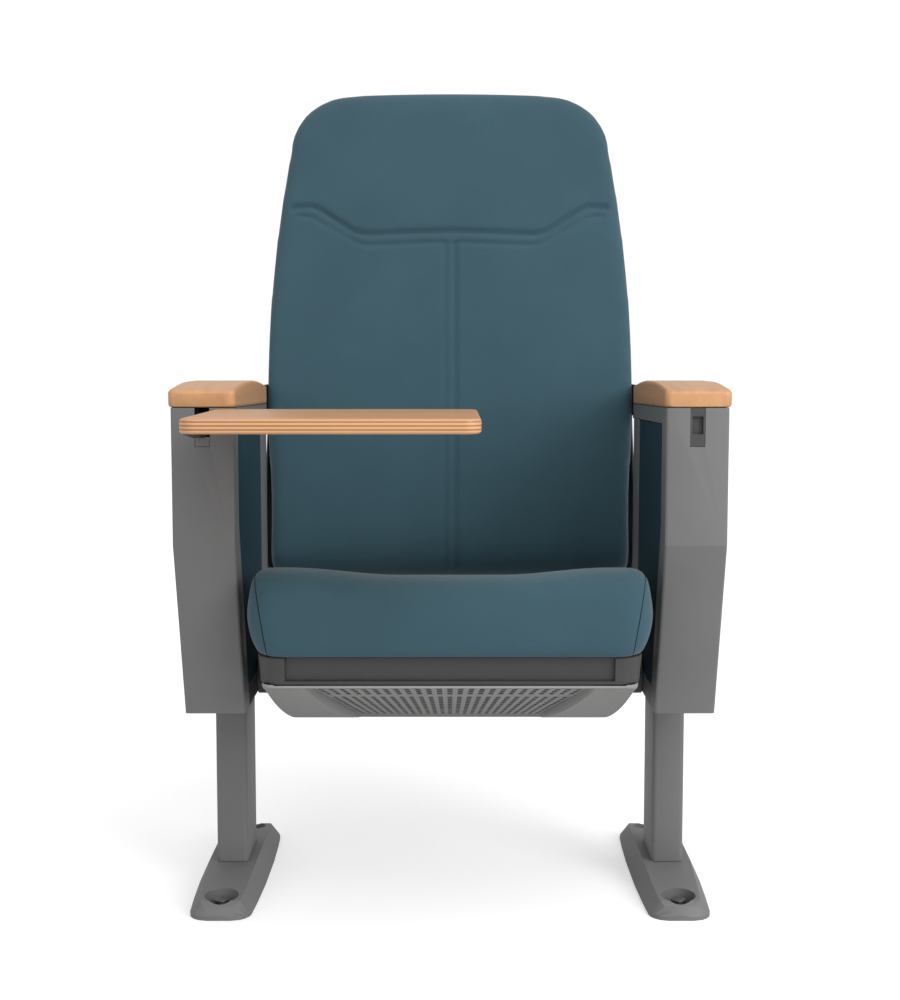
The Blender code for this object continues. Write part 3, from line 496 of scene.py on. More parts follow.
def loft(rings: Sequence[Sequence[Point]], ends: Ends = Ends.FLAT) -> bmesh.types.BMesh:
    """A closed mesh through equal rings.

    Args:
        rings: the rings' points, end to end.
        ends: how the first and the last ring are closed.

    Returns:
        The mesh, its faces outwards.
    """
    bm = bmesh.new()
    rows = [[bm.verts.new(point) for point in ring] for ring in rings]
    count = len(rows[0])
    for low, high in zip(rows, rows[1:]):
        for i in range(count):
            j = (i + 1) % count
            bm.faces.new((low[i], low[j], high[j], high[i]))
    for row in (rows[0], rows[-1]):
        if ends is Ends.RUNGS:
            for i in range(count // 2 - 1):
                bm.faces.new((row[i], row[i + 1], row[-2 - i], row[-1 - i]))
        elif ends is Ends.FAN:
            centre = bm.verts.new(sum((v.co for v in row), Vector()) / count)
            for a, b in zip(row, row[1:] + row[:1]):
                bm.faces.new((a, b, centre))
        else:
            bm.faces.new(row)
    bmesh.ops.recalc_face_normals(bm, faces=bm.faces)
    return bm


def linked(name: str, data: bpy.types.ID) -> Object:
    """A new object that holds the data, in the scene."""
    obj = bpy.data.objects.new(name, data)
    bpy.context.scene.collection.objects.link(obj)
    return obj


def as_object(name: str, bm: bmesh.types.BMesh, finish: str, sharp: float = 35.0) -> Object:
    """Turns a bmesh into a smooth-shaded object at the origin.

    Args:
        name: the object's name.
        bm: its mesh, which is freed.
        finish: its finish's name.
        sharp: the angle in degrees above which an edge stays sharp.

    Returns:
        The object.
    """
    mesh = bpy.data.meshes.new(name)
    bm.to_mesh(mesh)
    bm.free()
    mesh.shade_smooth()
    mesh.set_sharp_from_angle(angle=math.radians(sharp))
    mesh.materials.append(material(finish))
    return linked(name, mesh)


def bake(obj: Object) -> None:
    """Makes an object's evaluated shape its own mesh and drops its modifiers."""
    graph = bpy.context.evaluated_depsgraph_get()
    mesh = bpy.data.meshes.new_from_object(obj.evaluated_get(graph))
    obj.modifiers.clear()
    obj.data = mesh


def modify(obj: Object, kind: str, **settings: object) -> bpy.types.Modifier:
    """Adds a modifier.

    Args:
        obj: the object.
        kind: the modifier's type.
        settings: its properties.

    Returns:
        The modifier.
    """
    modifier = obj.modifiers.new(kind.lower(), kind)
    configure(modifier, settings)
    return modifier


def soften(obj: Object, width: float, segments: int = 3) -> None:
    """Rounds an object's sharp edges and leaves its flats flat in the shading."""
    modify(obj, "BEVEL", width=width, segments=segments, limit_method="ANGLE",
           angle_limit=math.radians(30), harden_normals=True, miter_outer="MITER_ARC")
    bake(obj)


def stand_for(obj: Object, node: str, *more: str) -> Object:
    """Puts a piece in the place of frame nodes.

    Args:
        obj: the piece.
        node: the node whose body it takes.
        more: other nodes that it replaces.

    Returns:
        The piece.
    """
    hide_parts(node, *more)
    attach(obj, BODIES[node])
    triangles = sum(len(p.vertices) - 2 for p in obj.data.polygons)
    LOG.info("%s: %d triangles", obj.name, triangles)
    return obj


def clean_copy(node: str) -> bmesh.types.BMesh:
    """A frame node's shape with its loose triangles joined into whole faces."""
    bm = bmesh.new()
    bm.from_mesh(frame["nodes"][node].data)
    bmesh.ops.remove_doubles(bm, verts=bm.verts, dist=2e-6)
    bmesh.ops.dissolve_limit(bm, angle_limit=math.radians(0.4), verts=bm.verts, edges=bm.edges)
    return bm


def behind(y: float) -> float:
    """The frame's depth for a place that far behind the armrests' front ends."""
    return DATUM + y


SETTLING = 20           # frames of cloth simulation
VOXEL = 0.0075          # edge length of the remeshed cloth
PRESSURE = 3.0          # of the pads' filling
FURTHEST = 0.006        # that the filling may move a point


def swell(obj: Object, hold: Callable[[Vector], float]) -> None:
    """Fills a pad by cloth simulation, its pinned places held still.

    Args:
        obj: the pad's closed form.
        hold: how firmly a point is pinned, from 0 to 1.
    """
    modify(obj, "REMESH", mode="VOXEL", voxel_size=VOXEL, use_smooth_shade=True)
    bake(obj)
    start = [v.co.copy() for v in obj.data.vertices]
    group = obj.vertex_groups.new(name="hold")
    for vertex in obj.data.vertices:
        group.add([vertex.index], hold(vertex.co), "REPLACE")
    cloth = modify(obj, "CLOTH")
    configure(cloth.settings, {
        "quality": 2, "mass": 0.3, "tension_stiffness": 15, "compression_stiffness": 15,
        "bending_stiffness": 1.0, "use_pressure": True, "uniform_pressure_force": PRESSURE,
        "vertex_group_mass": "hold"})
    cloth.settings.effector_weights.gravity = 0.0
    configure(cloth.point_cache, {"frame_start": 1, "frame_end": SETTLING})
    for step in range(1, SETTLING + 1):
        bpy.context.scene.frame_set(step)
    bake(obj)
    obj.vertex_groups.clear()
    bpy.context.scene.frame_set(1)
    for vertex, place in zip(obj.data.vertices, start):
        move = vertex.co - place
        if move.length > FURTHEST:
            vertex.co = place + move * (FURTHEST / move.length)
    modify(obj, "SMOOTH", factor=0.5, iterations=4)
    bake(obj)
    modify(obj, "SUBSURF", levels=1, render_levels=1)
    bake(obj)
    obj.data.shade_smooth()


def press(obj: Object, move: Callable[[Vector], Vector | None]) -> None:
    """Moves each vertex.

    Args:
        obj: the object.
        move: gives the vector for a place, or nothing.
    """
    for vertex in obj.data.vertices:
        shift = move(vertex.co)
        if shift is not None:
            vertex.co += shift
    obj.data.update()


def distance_to_path(point: Flat, path: Sequence[Flat]) -> float:
    """The shortest distance from a flat point to a polyline.

    Args:
        point: the point.
        path: the polyline's corners.

    Returns:
        The distance.
    """
    best = 1.0
    px, py = point
    for (ax, ay), (bx, by) in zip(path, path[1:]):
        dx, dy = bx - ax, by - ay
        share = min(1.0, max(0.0, ((px - ax) * dx + (py - ay) * dy) / (dx * dx + dy * dy)))
        best = min(best, math.hypot(px - ax - share * dx, py - ay - share * dy))
    return best


def groove(distance: float, width: float, depth: float) -> float:
    """Depth of a sewn crease at a distance from its line."""
    return depth * math.exp(-(distance / width) ** 2)


# ---------------------------------------------------------------- geometry nodes
class NodeRecipe(Nodes):
    """A Geometry Nodes tree with named inputs, read once into a plain mesh."""

    def __init__(self, name: str, sizes: dict[str, float | int]) -> None:
        """Starts the tree with its inputs.

        Args:
            name: the tree's name.
            sizes: each input's name and value; whole numbers become integer inputs.
        """
        super().__init__(bpy.data.node_groups.new(name, "GeometryNodeTree"))
        self.sizes = sizes
        face = self.tree.interface
        face.new_socket("Geometry", in_out="OUTPUT", socket_type="NodeSocketGeometry")
        for key, value in sizes.items():
            kind = "NodeSocketInt" if isinstance(value, int) else "NodeSocketFloat"
            face.new_socket(key, in_out="INPUT", socket_type=kind)
        self.inputs = self.tree.nodes.new("NodeGroupInput").outputs

    def size(self, key: str) -> Value:
        """The value of a named input."""
        return Value(self, self.inputs[key])

    def join(self, *parts: Value) -> Value:
        """Several geometries as one."""
        node = self.node("GeometryNodeJoinGeometry")
        for part in parts:
            self.feed(node.inputs[0], part)
        return Value(self, node.outputs[0])

    def make(self, geometry: Value, finish: str) -> Object:
        """Closes the tree, runs it on an empty mesh and keeps the plain result.

        Args:
            geometry: the last geometry.
            finish: the finish that every face gets.

        Returns:
            An object at the origin with a plain mesh.
        """
        real = self.add("GeometryNodeRealizeInstances", Geometry=geometry)
        dressed = self.add("GeometryNodeSetMaterial", Geometry=real, Material=material(finish))
        self.feed(self.tree.nodes.new("NodeGroupOutput").inputs[0], dressed)
        obj = linked(self.tree.name, bpy.data.meshes.new(self.tree.name))
        modifier = modify(obj, "NODES", node_group=self.tree)
        for item in self.tree.interface.items_tree:
            if item.in_out == "INPUT":
                modifier[item.identifier] = self.sizes[item.name]
        bake(obj)
        return obj


# ---------------------------------------------------------------- sub-assemblies
@dataclass
class Studio:
    """White floor, white surroundings, soft lights and the camera."""

    floor_half: float = 9.0
    sky: float = 0.66
    seen_sky: float = 1.02
    floor_glow: float = 0.40
    aim_height: float = 0.55
    distance: float = 1.79          # of the camera ahead of the chair's armrests
    eye_height: float = 0.6865
    pitch: float = 84.6
    lens: float = 57.13

    def build(self) -> None:
        """Sets the stage, its colours shown as they are."""
        bpy.context.scene.view_settings.view_transform = "Standard"
        self.build_floor()
        self.build_world()
        self.build_lights()
        self.build_camera()

    def build_floor(self) -> None:
        """A wide matte white floor, a little brighter to the camera than to the chair."""
        half = self.floor_half
        mesh = bpy.data.meshes.new("floor")
        mesh.from_pydata([(-half, -half, 0), (half, -half, 0), (half, half, 0), (-half, half, 0)],
                         [], [(0, 1, 2, 3)])
        g = Graph("floor_white")
        tone = g.ramp(g.noise(g.coordinates, 3.0), (0.3, shade(WHITE, 0.69)),
                      (0.7, shade(WHITE, 0.71)))
        glow = g.add("LightPath", "Is Camera Ray") * self.floor_glow
        mesh.materials.append(g.finish(Base_Color=tone, Roughness=0.7, Specular_IOR_Level=0.1,
                                       Emission_Color=WHITE, Emission_Strength=glow))
        linked("floor", mesh)

    def build_world(self) -> None:
        """Even surroundings, white to the camera and dimmer as light."""
        world = bpy.data.worlds.new("studio")
        world.use_nodes = True
        nodes = Nodes(world.node_tree)
        background = world.node_tree.nodes["Background"].inputs
        nodes.feed(background["Color"], WHITE)
        extra = self.seen_sky - self.sky
        nodes.feed(background["Strength"], nodes.add("LightPath", "Is Camera Ray") * extra + self.sky)
        bpy.context.scene.world = world

    def build_lights(self) -> None:
        """A soft sun from above, a large key at the front right and a weak fill at the left."""
        for name, kind, place, size, power in (
                ("sun", "SUN", (0.9, -1.3, 2.7), 1.2, 1.55),
                ("key", "AREA", (2.3, -2.3, 1.7), 1.8, 52.0),
                ("fill", "AREA", (-2.8, -2.6, 1.6), 2.2, 8.0)):
            data = bpy.data.lights.new(name, kind)
            if kind == "SUN":
                data.angle = size
            else:
                data.shape = "DISK"
                data.size = size
            data.energy = power
            light = linked(name, data)
            light.location = place
            aim = Vector((0.0, 0.0, self.aim_height)) - Vector(place)
            light.rotation_euler = aim.to_track_quat("-Z", "Y").to_euler()

    def build_camera(self) -> None:
        """The camera, straight ahead of the chair and tipped a little down."""
        data = bpy.data.cameras.new("camera")
        data.lens = self.lens
        data.sensor_width = 36.0
        camera = linked("camera", data)
        camera.location = (0.0, behind(-self.distance), self.eye_height)
        camera.rotation_euler = (math.radians(self.pitch), 0.0, 0.0)
        bpy.context.scene.camera = camera


@dataclass
class RigidSet:
    """Frame pieces whose shape is right, given small rounded edges."""

    widths: dict[str, float] = field(default_factory=lambda: {
        "nose_cover": 0.0010, "rear_cover": 0.0012, "base_tray": 0.0012, "top_rail": 0.0008,
        "inner_panel": 0.0012, "outer_panel": 0.0012, "column": 0.0008, "foot": 0.0016,
        "back_bracket": 0.0010, "seat_hub": 0.0012, "seat_arm": 0.0006, "stop_collar": 0.0006,
        "stop_pad": 0.0006})
    bolts: tuple[str, ...] = ("foot_bolt_front", "foot_bolt_rear", "bracket_screw_lower",
                              "bracket_screw_upper")

    def build(self) -> None:
        """Refines each pair of pieces."""
        for side in SIDES:
            for stem, width in self.widths.items():
                self.refine(f"{stem}_{side}", width)
            for stem in self.bolts:
                self.refine(f"{stem}_{side}", 0.0005)

    def refine(self, node: str, width: float) -> None:
        """One frame piece with softened edges.

        Args:
            node: the piece.
            width: its edges' rounding.
        """
        obj = as_object(node + "_finished", clean_copy(node), SLOTS[node], 28.0)
        soften(obj, width)
        stand_for(obj, node)


@dataclass
class Carried:
    """Frame pieces that keep their own mesh and take a finish."""

    def build(self) -> None:
        """Dresses every frame piece that nothing has replaced."""
        for node, obj in frame["nodes"].items():
            obj.data.materials.clear()
            obj.data.materials.append(material(SLOTS[node]))


@dataclass
class Armrests:
    """Solid beech armrests with an arched top and eased edges."""

    edge: float = 0.0042
    front_corner: float = 0.008
    arch: float = 0.0090
    rear_fall: float = 0.002
    seat_height: float = 0.6218     # of the underside at the front
    drop: float = 0.0065            # of the underside towards the rear
    thickness: float = 0.0195
    steps: int = 44

    def build(self) -> None:
        """Builds both armrests."""
        for side, sign in SIDES.items():
            node = f"armrest_{side}"
            low, high = (Vector(corner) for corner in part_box(node))
            stand_for(as_object(node + "_finished", self.form(low, high), "beech", 60.0), node)

    def form(self, low: Vector, high: Vector) -> bmesh.types.BMesh:
        """One armrest inside its frame piece's box.

        Args:
            low: the box's lowest corner.
            high: the box's highest corner.

        Returns:
            The armrest's closed mesh.
        """
        rings = []
        for index in range(self.steps + 1):
            share = (1 - math.cos(math.pi * index / self.steps)) / 2
            y = low.y + (high.y - low.y) * share
            ends = []
            for distance in (y - low.y, high.y - y):
                reach = min(1.0, distance / self.front_corner)
                ends.append(1 - math.sqrt(max(0.0, 1 - (1 - reach) ** 2)))
            side = self.front_corner * max(ends)
            top = self.edge * max(ends)
            base = self.seat_height - self.drop * share
            crown = min(high.z, self.seat_height + self.thickness
                        + 4 * self.arch * share * (1 - share) - self.rear_fall * share)
            outline = rounded_rectangle(low.x + side, high.x - side, base + top * 0.4,
                                        crown - top, self.edge, 5)
            rings.append([(x, y, z) for x, z in outline])
        return loft(rings)


@dataclass
class Tablet:
    """The writing board with rounded corners and bare plies at its edge."""

    corner: float = 0.018
    edge: float = 0.0035
    flap_half: float = 0.0081
    flap_depths: Flat = (0.0004, 0.0030)
    flap_drops: Flat = (0.0437, 0.0328)     # of its ends below the casing's top

    def build(self) -> None:
        """Builds the board and refines its ironwork."""
        low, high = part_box("tablet_board")
        rings = []
        for end, degrees in [(0, a) for a in (0, 22, 45, 68, 90)] + \
                            [(1, a) for a in (90, 68, 45, 22, 0)]:
            angle = math.radians(degrees)
            pull = self.edge * (1 - math.sin(angle))
            rise = self.edge * (1 - math.cos(angle))
            z = low[2] + rise if end == 0 else high[2] - rise
            outline = rounded_rectangle(low[0] + pull, high[0] - pull, low[1] + pull,
                                        high[1] - pull, self.corner - pull, 12)
            rings.append([(x, y, z) for x, y in outline])
        stand_for(as_object("writing_board", loft(rings), "plywood", 60.0), "tablet_board")
        self.build_blank()
        rigid = RigidSet()
        for node, width in (("tablet_plate", 0.0004), ("tablet_arm", 0.0008),
                            ("slot_plug", 0.0004)):
            rigid.refine(node, width)

    def build_blank(self) -> None:
        """The small painted flap that closes the foot of the slot below the arm."""
        low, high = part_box("nose_cover_left")
        middle = (low[0] + high[0]) / 2
        left, right = middle - self.flap_half, middle + self.flap_half
        front, back = map(behind, self.flap_depths)
        outline = (left, front), (right, front), (right, back), (left, back)
        flap = as_object("slot_flap", loft([[(x, y, high[2] - drop) for x, y in outline]
                                            for drop in self.flap_drops]), "grey_paint")
        soften(flap, 0.0003, 2)
        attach(flap, "frame")


@dataclass
class BackRest:
    """The upholstered back: a filled pad with sewn creases on a moulded shell."""

    knee: Flat = (0.345, 0.420)
    lean: float = 0.2035
    curl: float = 16.0
    pad_depth: float = 0.0335
    rim: float = 0.0012
    deep_crease: Flat = (0.0034, 0.0056)    # width and depth
    right_crease: Flat = (0.0028, 0.0040)
    faint_crease: Flat = (0.0028, 0.0026)
    crease_reach: float = 0.016             # depth of the cloth that the creases move
    channel_half: float = 0.0063
    taper_start: float = 0.640
    taper: float = 0.116
    shoulder_drop: float = 0.082
    shoulder_width: float = 0.088
    crown: float = 0.0035
    foot_drop: float = 0.012
    toe: Flat = (0.006, 0.010)              # width and height of the foot's rounding
    side_steps: int = 34
    corner_steps: int = 18
    waist_heights: Flat = (0.46, 0.62)
    shell_waist: float = -0.003
    pad_waist: float = 0.007
    middle_seam: Flat = (0.39, 0.835)       # heights of its ends
    deep_line: tuple[Flat, ...] = ((0.0, 0.850), (0.118, 0.8455), (0.134, 0.850), (0.182, 0.8810),
                                   (0.192, 0.8845), (0.217, 0.8830))
    faint_line: tuple[Flat, ...] = ((0.0105, 0.835), (0.1135, 0.831), (0.125, 0.833),
                                    (0.192, 0.8700), (0.211, 0.872))

    def front(self, z: float) -> float:
        """Depth of the pad's front face at height z."""
        return behind(self.knee[0] + self.lean * (z - self.knee[1])
                      + self.curl * min(0.0, z - self.knee[1]) ** 2)

    def half_width(self, z: float) -> float:
        """Half-width of the back at height z, below its rounded top."""
        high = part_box("back_shell")[1]
        share = max(0.0, (z - self.taper_start) / (high[2] - self.shoulder_drop - self.taper_start))
        return high[0] * (1.0 - self.taper * share ** 2)

    def outline(self, pull: float) -> list[Flat]:
        """Front view of the back drawn in by a distance: up the right side, down the left.

        Args:
            pull: the distance from the outer edge.

        Returns:
            Points (x, z), symmetric about x = 0.
        """
        low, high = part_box("back_shell")
        shoulder = high[2] - self.shoulder_drop
        right = []
        foot = low[2] - self.foot_drop
        for i in range(self.side_steps + 1):
            z = foot + (shoulder - foot) * i / self.side_steps
            toe = self.toe[0] * (1 - smoothstep(0.0, self.toe[1], z - foot))
            right.append((self.half_width(z) - toe, z))
        x, z = right[-1]
        rise = self.shoulder_drop - self.crown
        for i in range(1, self.corner_steps + 1):
            angle = math.radians(90 * i / self.corner_steps)
            right.append((x - self.shoulder_width * (1 - math.cos(angle)),
                          z + rise * math.sin(angle)))
        flat = right[-1][0]
        for share in (0.8, 0.6, 0.4, 0.2, 0.05):
            right.append((flat * share, high[2] - self.crown * share ** 2))
        middle = (high[2] + low[2]) / 2
        wide, tall = 1 - pull / high[0], 1 - 2 * pull / (high[2] - low[2])
        right = [(px * wide, middle + (pz - middle) * tall) for px, pz in right]
        return right + [(-px, pz) for px, pz in reversed(right)]

    def ring(self, pull: float, depth: float, waist: float) -> list[Point]:
        """One cross-section of the pad or the shell, parallel to the front face.

        Args:
            pull: how far the outline is drawn in.
            depth: the depth behind the front face.
            waist: how much narrower each side is near the foot.

        Returns:
            The ring's points.
        """
        points = []
        for x, z in self.outline(pull):
            x -= math.copysign(1.0, x) * waist * (1 - smoothstep(*self.waist_heights, z))
            points.append((x, self.front(z) + depth, z))
        return points

    def build(self) -> None:
        """Builds the shell and the pad."""
        layers = ((0.026, 0.0515), (0.004, 0.0435), (0.004, 0.0335), (0.0022, 0.0318),
                  (0.0006, 0.0318), (0.0, 0.0335), (0.0, 0.0435), (0.005, 0.0500),
                  (0.014, 0.0538), (0.022, 0.0555))
        shell = as_object("shell_finished", loft([self.ring(*layer, self.shell_waist)
                                                  for layer in layers], Ends.RUNGS),
                          "dark_plastic", 40.0)
        stand_for(shell, "back_shell")
        self.build_pad()

    def build_pad(self) -> None:
        """The pad: closed form, swelled, then creased along its sewn lines."""
        layers = [(self.rim + 0.030, self.pad_depth), (self.rim, self.pad_depth),
                  (self.rim, 0.0250), (self.rim, 0.0140), (self.rim + 0.0010, 0.0085),
                  (self.rim + 0.0035, 0.0042), (self.rim + 0.0080, 0.0013),
                  (self.rim + 0.0150, 0.0)]
        pad = as_object("back_pad", loft([self.ring(*layer, self.pad_waist) for layer in layers],
                                         Ends.RUNGS), "teal_cloth")

        def hold(point: Vector) -> float:
            """Firm round the rim and the back, free on the face."""
            depth = point.y - self.front(point.z)
            edge = self.half_width(min(point.z, 0.99)) - abs(point.x)
            return 1.0 - 0.9 * (smoothstep(0.0, 0.05, edge) if depth < 0.010 else 0.0)

        swell(pad, hold)
        centre = self.channel_half

        def crease(point: Vector) -> Vector | None:
            """Presses the sewn lines in, and lets the cloth swell between them."""
            if point.y - self.front(point.z) > self.crease_reach:
                return None
            flat = (abs(point.x), point.z)
            depth = groove(distance_to_path(flat, self.deep_line), *self.deep_crease)
            depth += groove(distance_to_path(flat, self.faint_line), *self.faint_crease)
            if self.middle_seam[0] < point.z < self.middle_seam[1]:
                depth += groove(abs(point.x - centre), *self.right_crease)
                depth += groove(abs(point.x + centre), *self.faint_crease)
            return Vector((0.0, depth, 0.0)) if depth > 1e-5 else None

        press(pad, crease)
        stand_for(pad, "back_cushion")


@dataclass
class Seat:
    """The tip-up seat: pad, moulded pan and perforated underside."""

    front: float = -0.020
    rear: float = 0.325
    cover_front: float = -0.016
    cover_heel: float = 0.285
    cover_rear: float = 0.320
    shaft: Flat = (0.205, 0.275)
    bore: float = 0.0135
    bulge: float = 0.232
    crest: float = 0.4395
    post: float = 0.0331
    recess: float = 0.0055
    lip: float = 0.004
    wall: float = 0.0025
    plan_corner: float = 0.012
    belly: float = 0.0065
    sink: float = 0.0045
    vent_front: float = 0.1655
    vent_rear: float = 0.1200
    vent_fade: float = 0.046
    pan_corner: float = 0.028
    pad_corner: float = 0.030
    dish: float = 0.0095
    dish_span: Flat = (0.060, 0.190)
    heart: Flat = (0.035, 0.050)            # of the front's roll: depth, height over the base
    seam_radius: float = 0.0005
    seam_foot: Flat = (0.34, 0.2005)        # height, distance from the middle
    seam_rise: Flat = (0.085, 0.0215)       # and how much both grow to its top
    lip_drop: float = 0.0035
    rim_gap: float = 0.0016
    vent_wall: float = 0.0085
    vent_starts: Flat = (0.005, 0.012)      # behind the front
    vent_ends: Flat = (0.046, 0.038)        # ahead of the rear
    cover_corner: float = 0.010
    columns: int = 25
    rows: int = 16
    rib_row: int = 5
    slot: Flat = (0.50, 0.80)               # share of its cell
    overhang: Flat = (0.0148, 0.002)        # of the pad past the front and the rear
    roll: float = 0.016                     # width of the pad's rounded edge

    def build(self) -> None:
        """Builds the seat's pieces."""
        self.build_pan()
        self.build_cover()
        self.build_pad()

    def build_pan(self) -> None:
        """The pan: corner posts with a recessed band between them and a thin lip below."""
        low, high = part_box("seat_pan")
        half = high[0]
        inner = half - self.post

        def ring(rise: float, pull: float, sink: float) -> list[Point]:
            """The pan's outline at a height above its base, its front sunk between the posts."""
            front = low[1] + pull
            points = rounded_rectangle(-half + pull, half - pull, front, high[1] - pull,
                                       self.pan_corner - pull, 8)
            points += [(-inner, front), (-inner + 0.0006, front + sink), (0.0, front + sink),
                       (inner - 0.0006, front + sink), (inner, front)]
            return [(x, y, low[2] + rise) for x, y in points]

        tall, depth = high[2] - low[2], self.recess
        levels = ((0.0, 0.0042, 0.0), (0.0008, 0.0034, 0.0), (self.lip, 0.0028, 0.0),
                  (self.lip + 0.001, 0.0027, depth), (0.012, 0.0022, depth),
                  (0.022, 0.0012, depth), (tall - 0.0012, 0.0002, depth), (tall, 0.0010, depth),
                  (tall, 0.006, depth))
        pan = as_object("pan_finished", loft([ring(*level) for level in levels]),
                        "dark_plastic", 40.0)
        stand_for(pan, "seat_pan")

    def build_cover(self) -> None:
        """The underside: a hollow tray whose sunk middle holds the slotted grille."""
        tray = as_object("cover_tray", loft([self.cover_ring(y) for y in self.cover_stations()],
                                            Ends.RUNGS), "light_plastic", 40.0)
        bore = bmesh.new()
        y, z = self.shaft
        across = Matrix.Translation((0.0, behind(y), z)) @ Matrix.Rotation(math.pi / 2, 4, "Y")
        bmesh.ops.create_cone(bore, cap_ends=True, segments=40, radius1=self.bore,
                              radius2=self.bore, depth=1.0, matrix=across)
        cutter = as_object("bore_tool", bore, "rubber")
        modify(tray, "BOOLEAN", operation="DIFFERENCE", object=cutter)
        bake(tray)
        bpy.data.objects.remove(cutter)
        tray.data.shade_smooth()
        tray.data.set_sharp_from_angle(angle=math.radians(40))
        grille = self.build_grille()
        stand_for(tray, "seat_cover")
        for piece, slot in ((grille, "light_plastic"), (self.build_shade_sheet(), "dark_plastic")):
            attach(piece, "seat")

    def cover_stations(self) -> list[float]:
        """Depths of the cover's cross-sections, from its front lip to its rear."""
        front, heel = self.cover_front, self.cover_heel
        body = [front + 0.012 + (heel - front - 0.012) * i / 22 for i in range(23)]
        tail = [self.cover_rear - 0.035 * math.cos(math.radians(90 * i / 8)) for i in range(1, 9)]
        return [front, front + 0.0015, front + 0.004, front + 0.008, *body, *tail]

    def along(self, y: float) -> float:
        """Share of the way from the cover's front to its heel at depth y."""
        return (y - self.cover_front) / (self.cover_heel - self.cover_front)

    def hang(self, y: float) -> float:
        """How far the side pads hang below a straight line at depth y."""
        return self.belly * math.sin(math.pi * min(1.0, max(0.0, self.along(y)))) ** 0.8

    def pad_level(self, y: float) -> float:
        """Height of the cover's side pads at depth y."""
        low, rim = (corner[2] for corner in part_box("seat_cover"))
        if y <= self.cover_heel:
            start = rim - self.lip_drop
            return start + (low - start) * max(0.0, self.along(y)) - self.hang(y)
        share = min(1.0, (y - self.cover_heel) / (self.cover_rear - self.cover_heel))
        return low + (rim - 0.004 - low) * (1 - math.sqrt(max(0.0, 1 - share ** 2.4)))

    def vent_half(self, y: float) -> float:
        """Half-width of the sunk middle at depth y."""
        share = (y - self.front) / (self.cover_heel - self.front)
        return self.vent_front + (self.vent_rear - self.vent_front) * share

    def vent_sink(self, y: float) -> float:
        """How far the grille lies above the side pads at depth y."""
        front = self.cover_front
        return self.hang(y) + self.sink * smoothstep(front, front + self.vent_fade, y)

    def vent_floor(self, y: float) -> float:
        """Height of the sunk middle's inside at depth y."""
        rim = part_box("seat_cover")[1][2]
        return min(rim - self.rim_gap, self.pad_level(y) + self.vent_sink(y) + self.vent_wall)

    def cover_ring(self, y: float) -> list[Point]:
        """The tray's cross-section at depth y: its outside from right to left and its inside back.

        Args:
            y: the depth behind the armrests' front ends.

        Returns:
            Points of a closed ring, as many on the outside as on the inside.
        """
        half, _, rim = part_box("seat_cover")[1]
        pad = self.pad_level(y)
        starts = [self.front + place for place in self.vent_starts]
        ends = [self.rear - place for place in self.vent_ends]
        at_vent = smoothstep(*starts, y) * (1 - smoothstep(*ends, y))
        floor = pad + (self.vent_floor(y) - pad) * at_vent
        edge = self.vent_half(y)
        from_front = min(1.0, (y - self.cover_front) / self.plan_corner)
        half -= self.plan_corner * (1 - math.sqrt(1 - (1 - from_front) ** 2))
        radius = min(self.cover_corner, (rim - pad) * 0.8)
        outer = [(half, rim)]
        outer += arc(half - radius, pad + radius, radius, 0, -90, 6)
        outer += [(edge + 0.012, pad), (edge + 0.0025, pad),
                  (edge + 0.0010, pad + (floor - pad) * 0.2), (edge, floor), (edge * 0.5, floor),
                  (0.004, floor)]
        outer += [(-x, z) for x, z in reversed(outer)]
        inner = []
        for x, z in outer:
            inside = min(abs(x), half - self.wall)
            inner.append((math.copysign(inside, x), min(rim - 0.0002 * (abs(x) < half),
                                                        z + self.wall * (z < rim))))
        return [(x, behind(y), z) for x, z in outer + inner[::-1]]

    def build_grille(self) -> Object:
        """The fan of slots: a slotted cell repeated over a grid and spread to the opening."""
        recipe = NodeRecipe("vent_grille", {
            "Columns": self.columns, "Rows": self.rows, "Rib row": self.rib_row,
            "Slot width": self.slot[0], "Slot length": self.slot[1],
            "Front": behind(self.front + 0.0065), "Rear": behind(self.rear - 0.044),
            "Front half": self.vent_front - 0.0015, "Rear half": self.vent_rear - 0.0015})
        size = recipe.size
        grid = recipe.add("GeometryNodeMeshGrid", Size_X=size("Columns") - 1.0,
                          Size_Y=size("Rows") - 1.0, Vertices_X=size("Columns"),
                          Vertices_Y=size("Rows"))
        quad, fill = "GeometryNodeCurvePrimitiveQuadrilateral", "GeometryNodeFillCurve"
        cell_line = recipe.add(quad, Width=1.0, Height=1.0)
        slot_line = recipe.add(quad, Width=size("Slot width"), Height=size("Slot length"))
        cell = recipe.add(fill, Curve=recipe.join(cell_line, slot_line))
        plain = recipe.add(fill, Curve=cell_line)
        x, y, _ = recipe.split(recipe.add("GeometryNodeInputPosition"))
        row = y + size("Rows") * 0.5
        is_rib = abs(row - (size("Rib row") + 0.5)) < 0.5
        sheet = recipe.join(*[
            recipe.add("GeometryNodeInstanceOnPoints", Points=grid, Instance=shape, Selection=chosen)
            for chosen, shape in ((1.0 - is_rib, cell), (is_rib, plain))])
        real = recipe.add("GeometryNodeRealizeInstances", Geometry=sheet)
        welded = recipe.add("GeometryNodeMergeByDistance", Geometry=real, Distance=0.001)
        share = row / size("Rows")
        half = size("Front half") + share * (size("Rear half") - size("Front half"))
        across = x / (size("Columns") * 0.5)
        depth = size("Front") + share * (size("Rear") - size("Front"))
        spread = recipe.add("CombineXYZ", X=across * half, Y=depth)
        fanned = recipe.add("GeometryNodeSetPosition", Geometry=welded, Position=spread)
        grille = recipe.make(fanned, "light_plastic")
        for vertex in grille.data.vertices:
            y = vertex.co.y - DATUM
            vertex.co.z = self.pad_level(y) + self.vent_sink(y)
        modify(grille, "SOLIDIFY", thickness=0.0012, offset=1.0, use_even_offset=True)
        bake(grille)
        bm = bmesh.new()
        bm.from_mesh(grille.data)
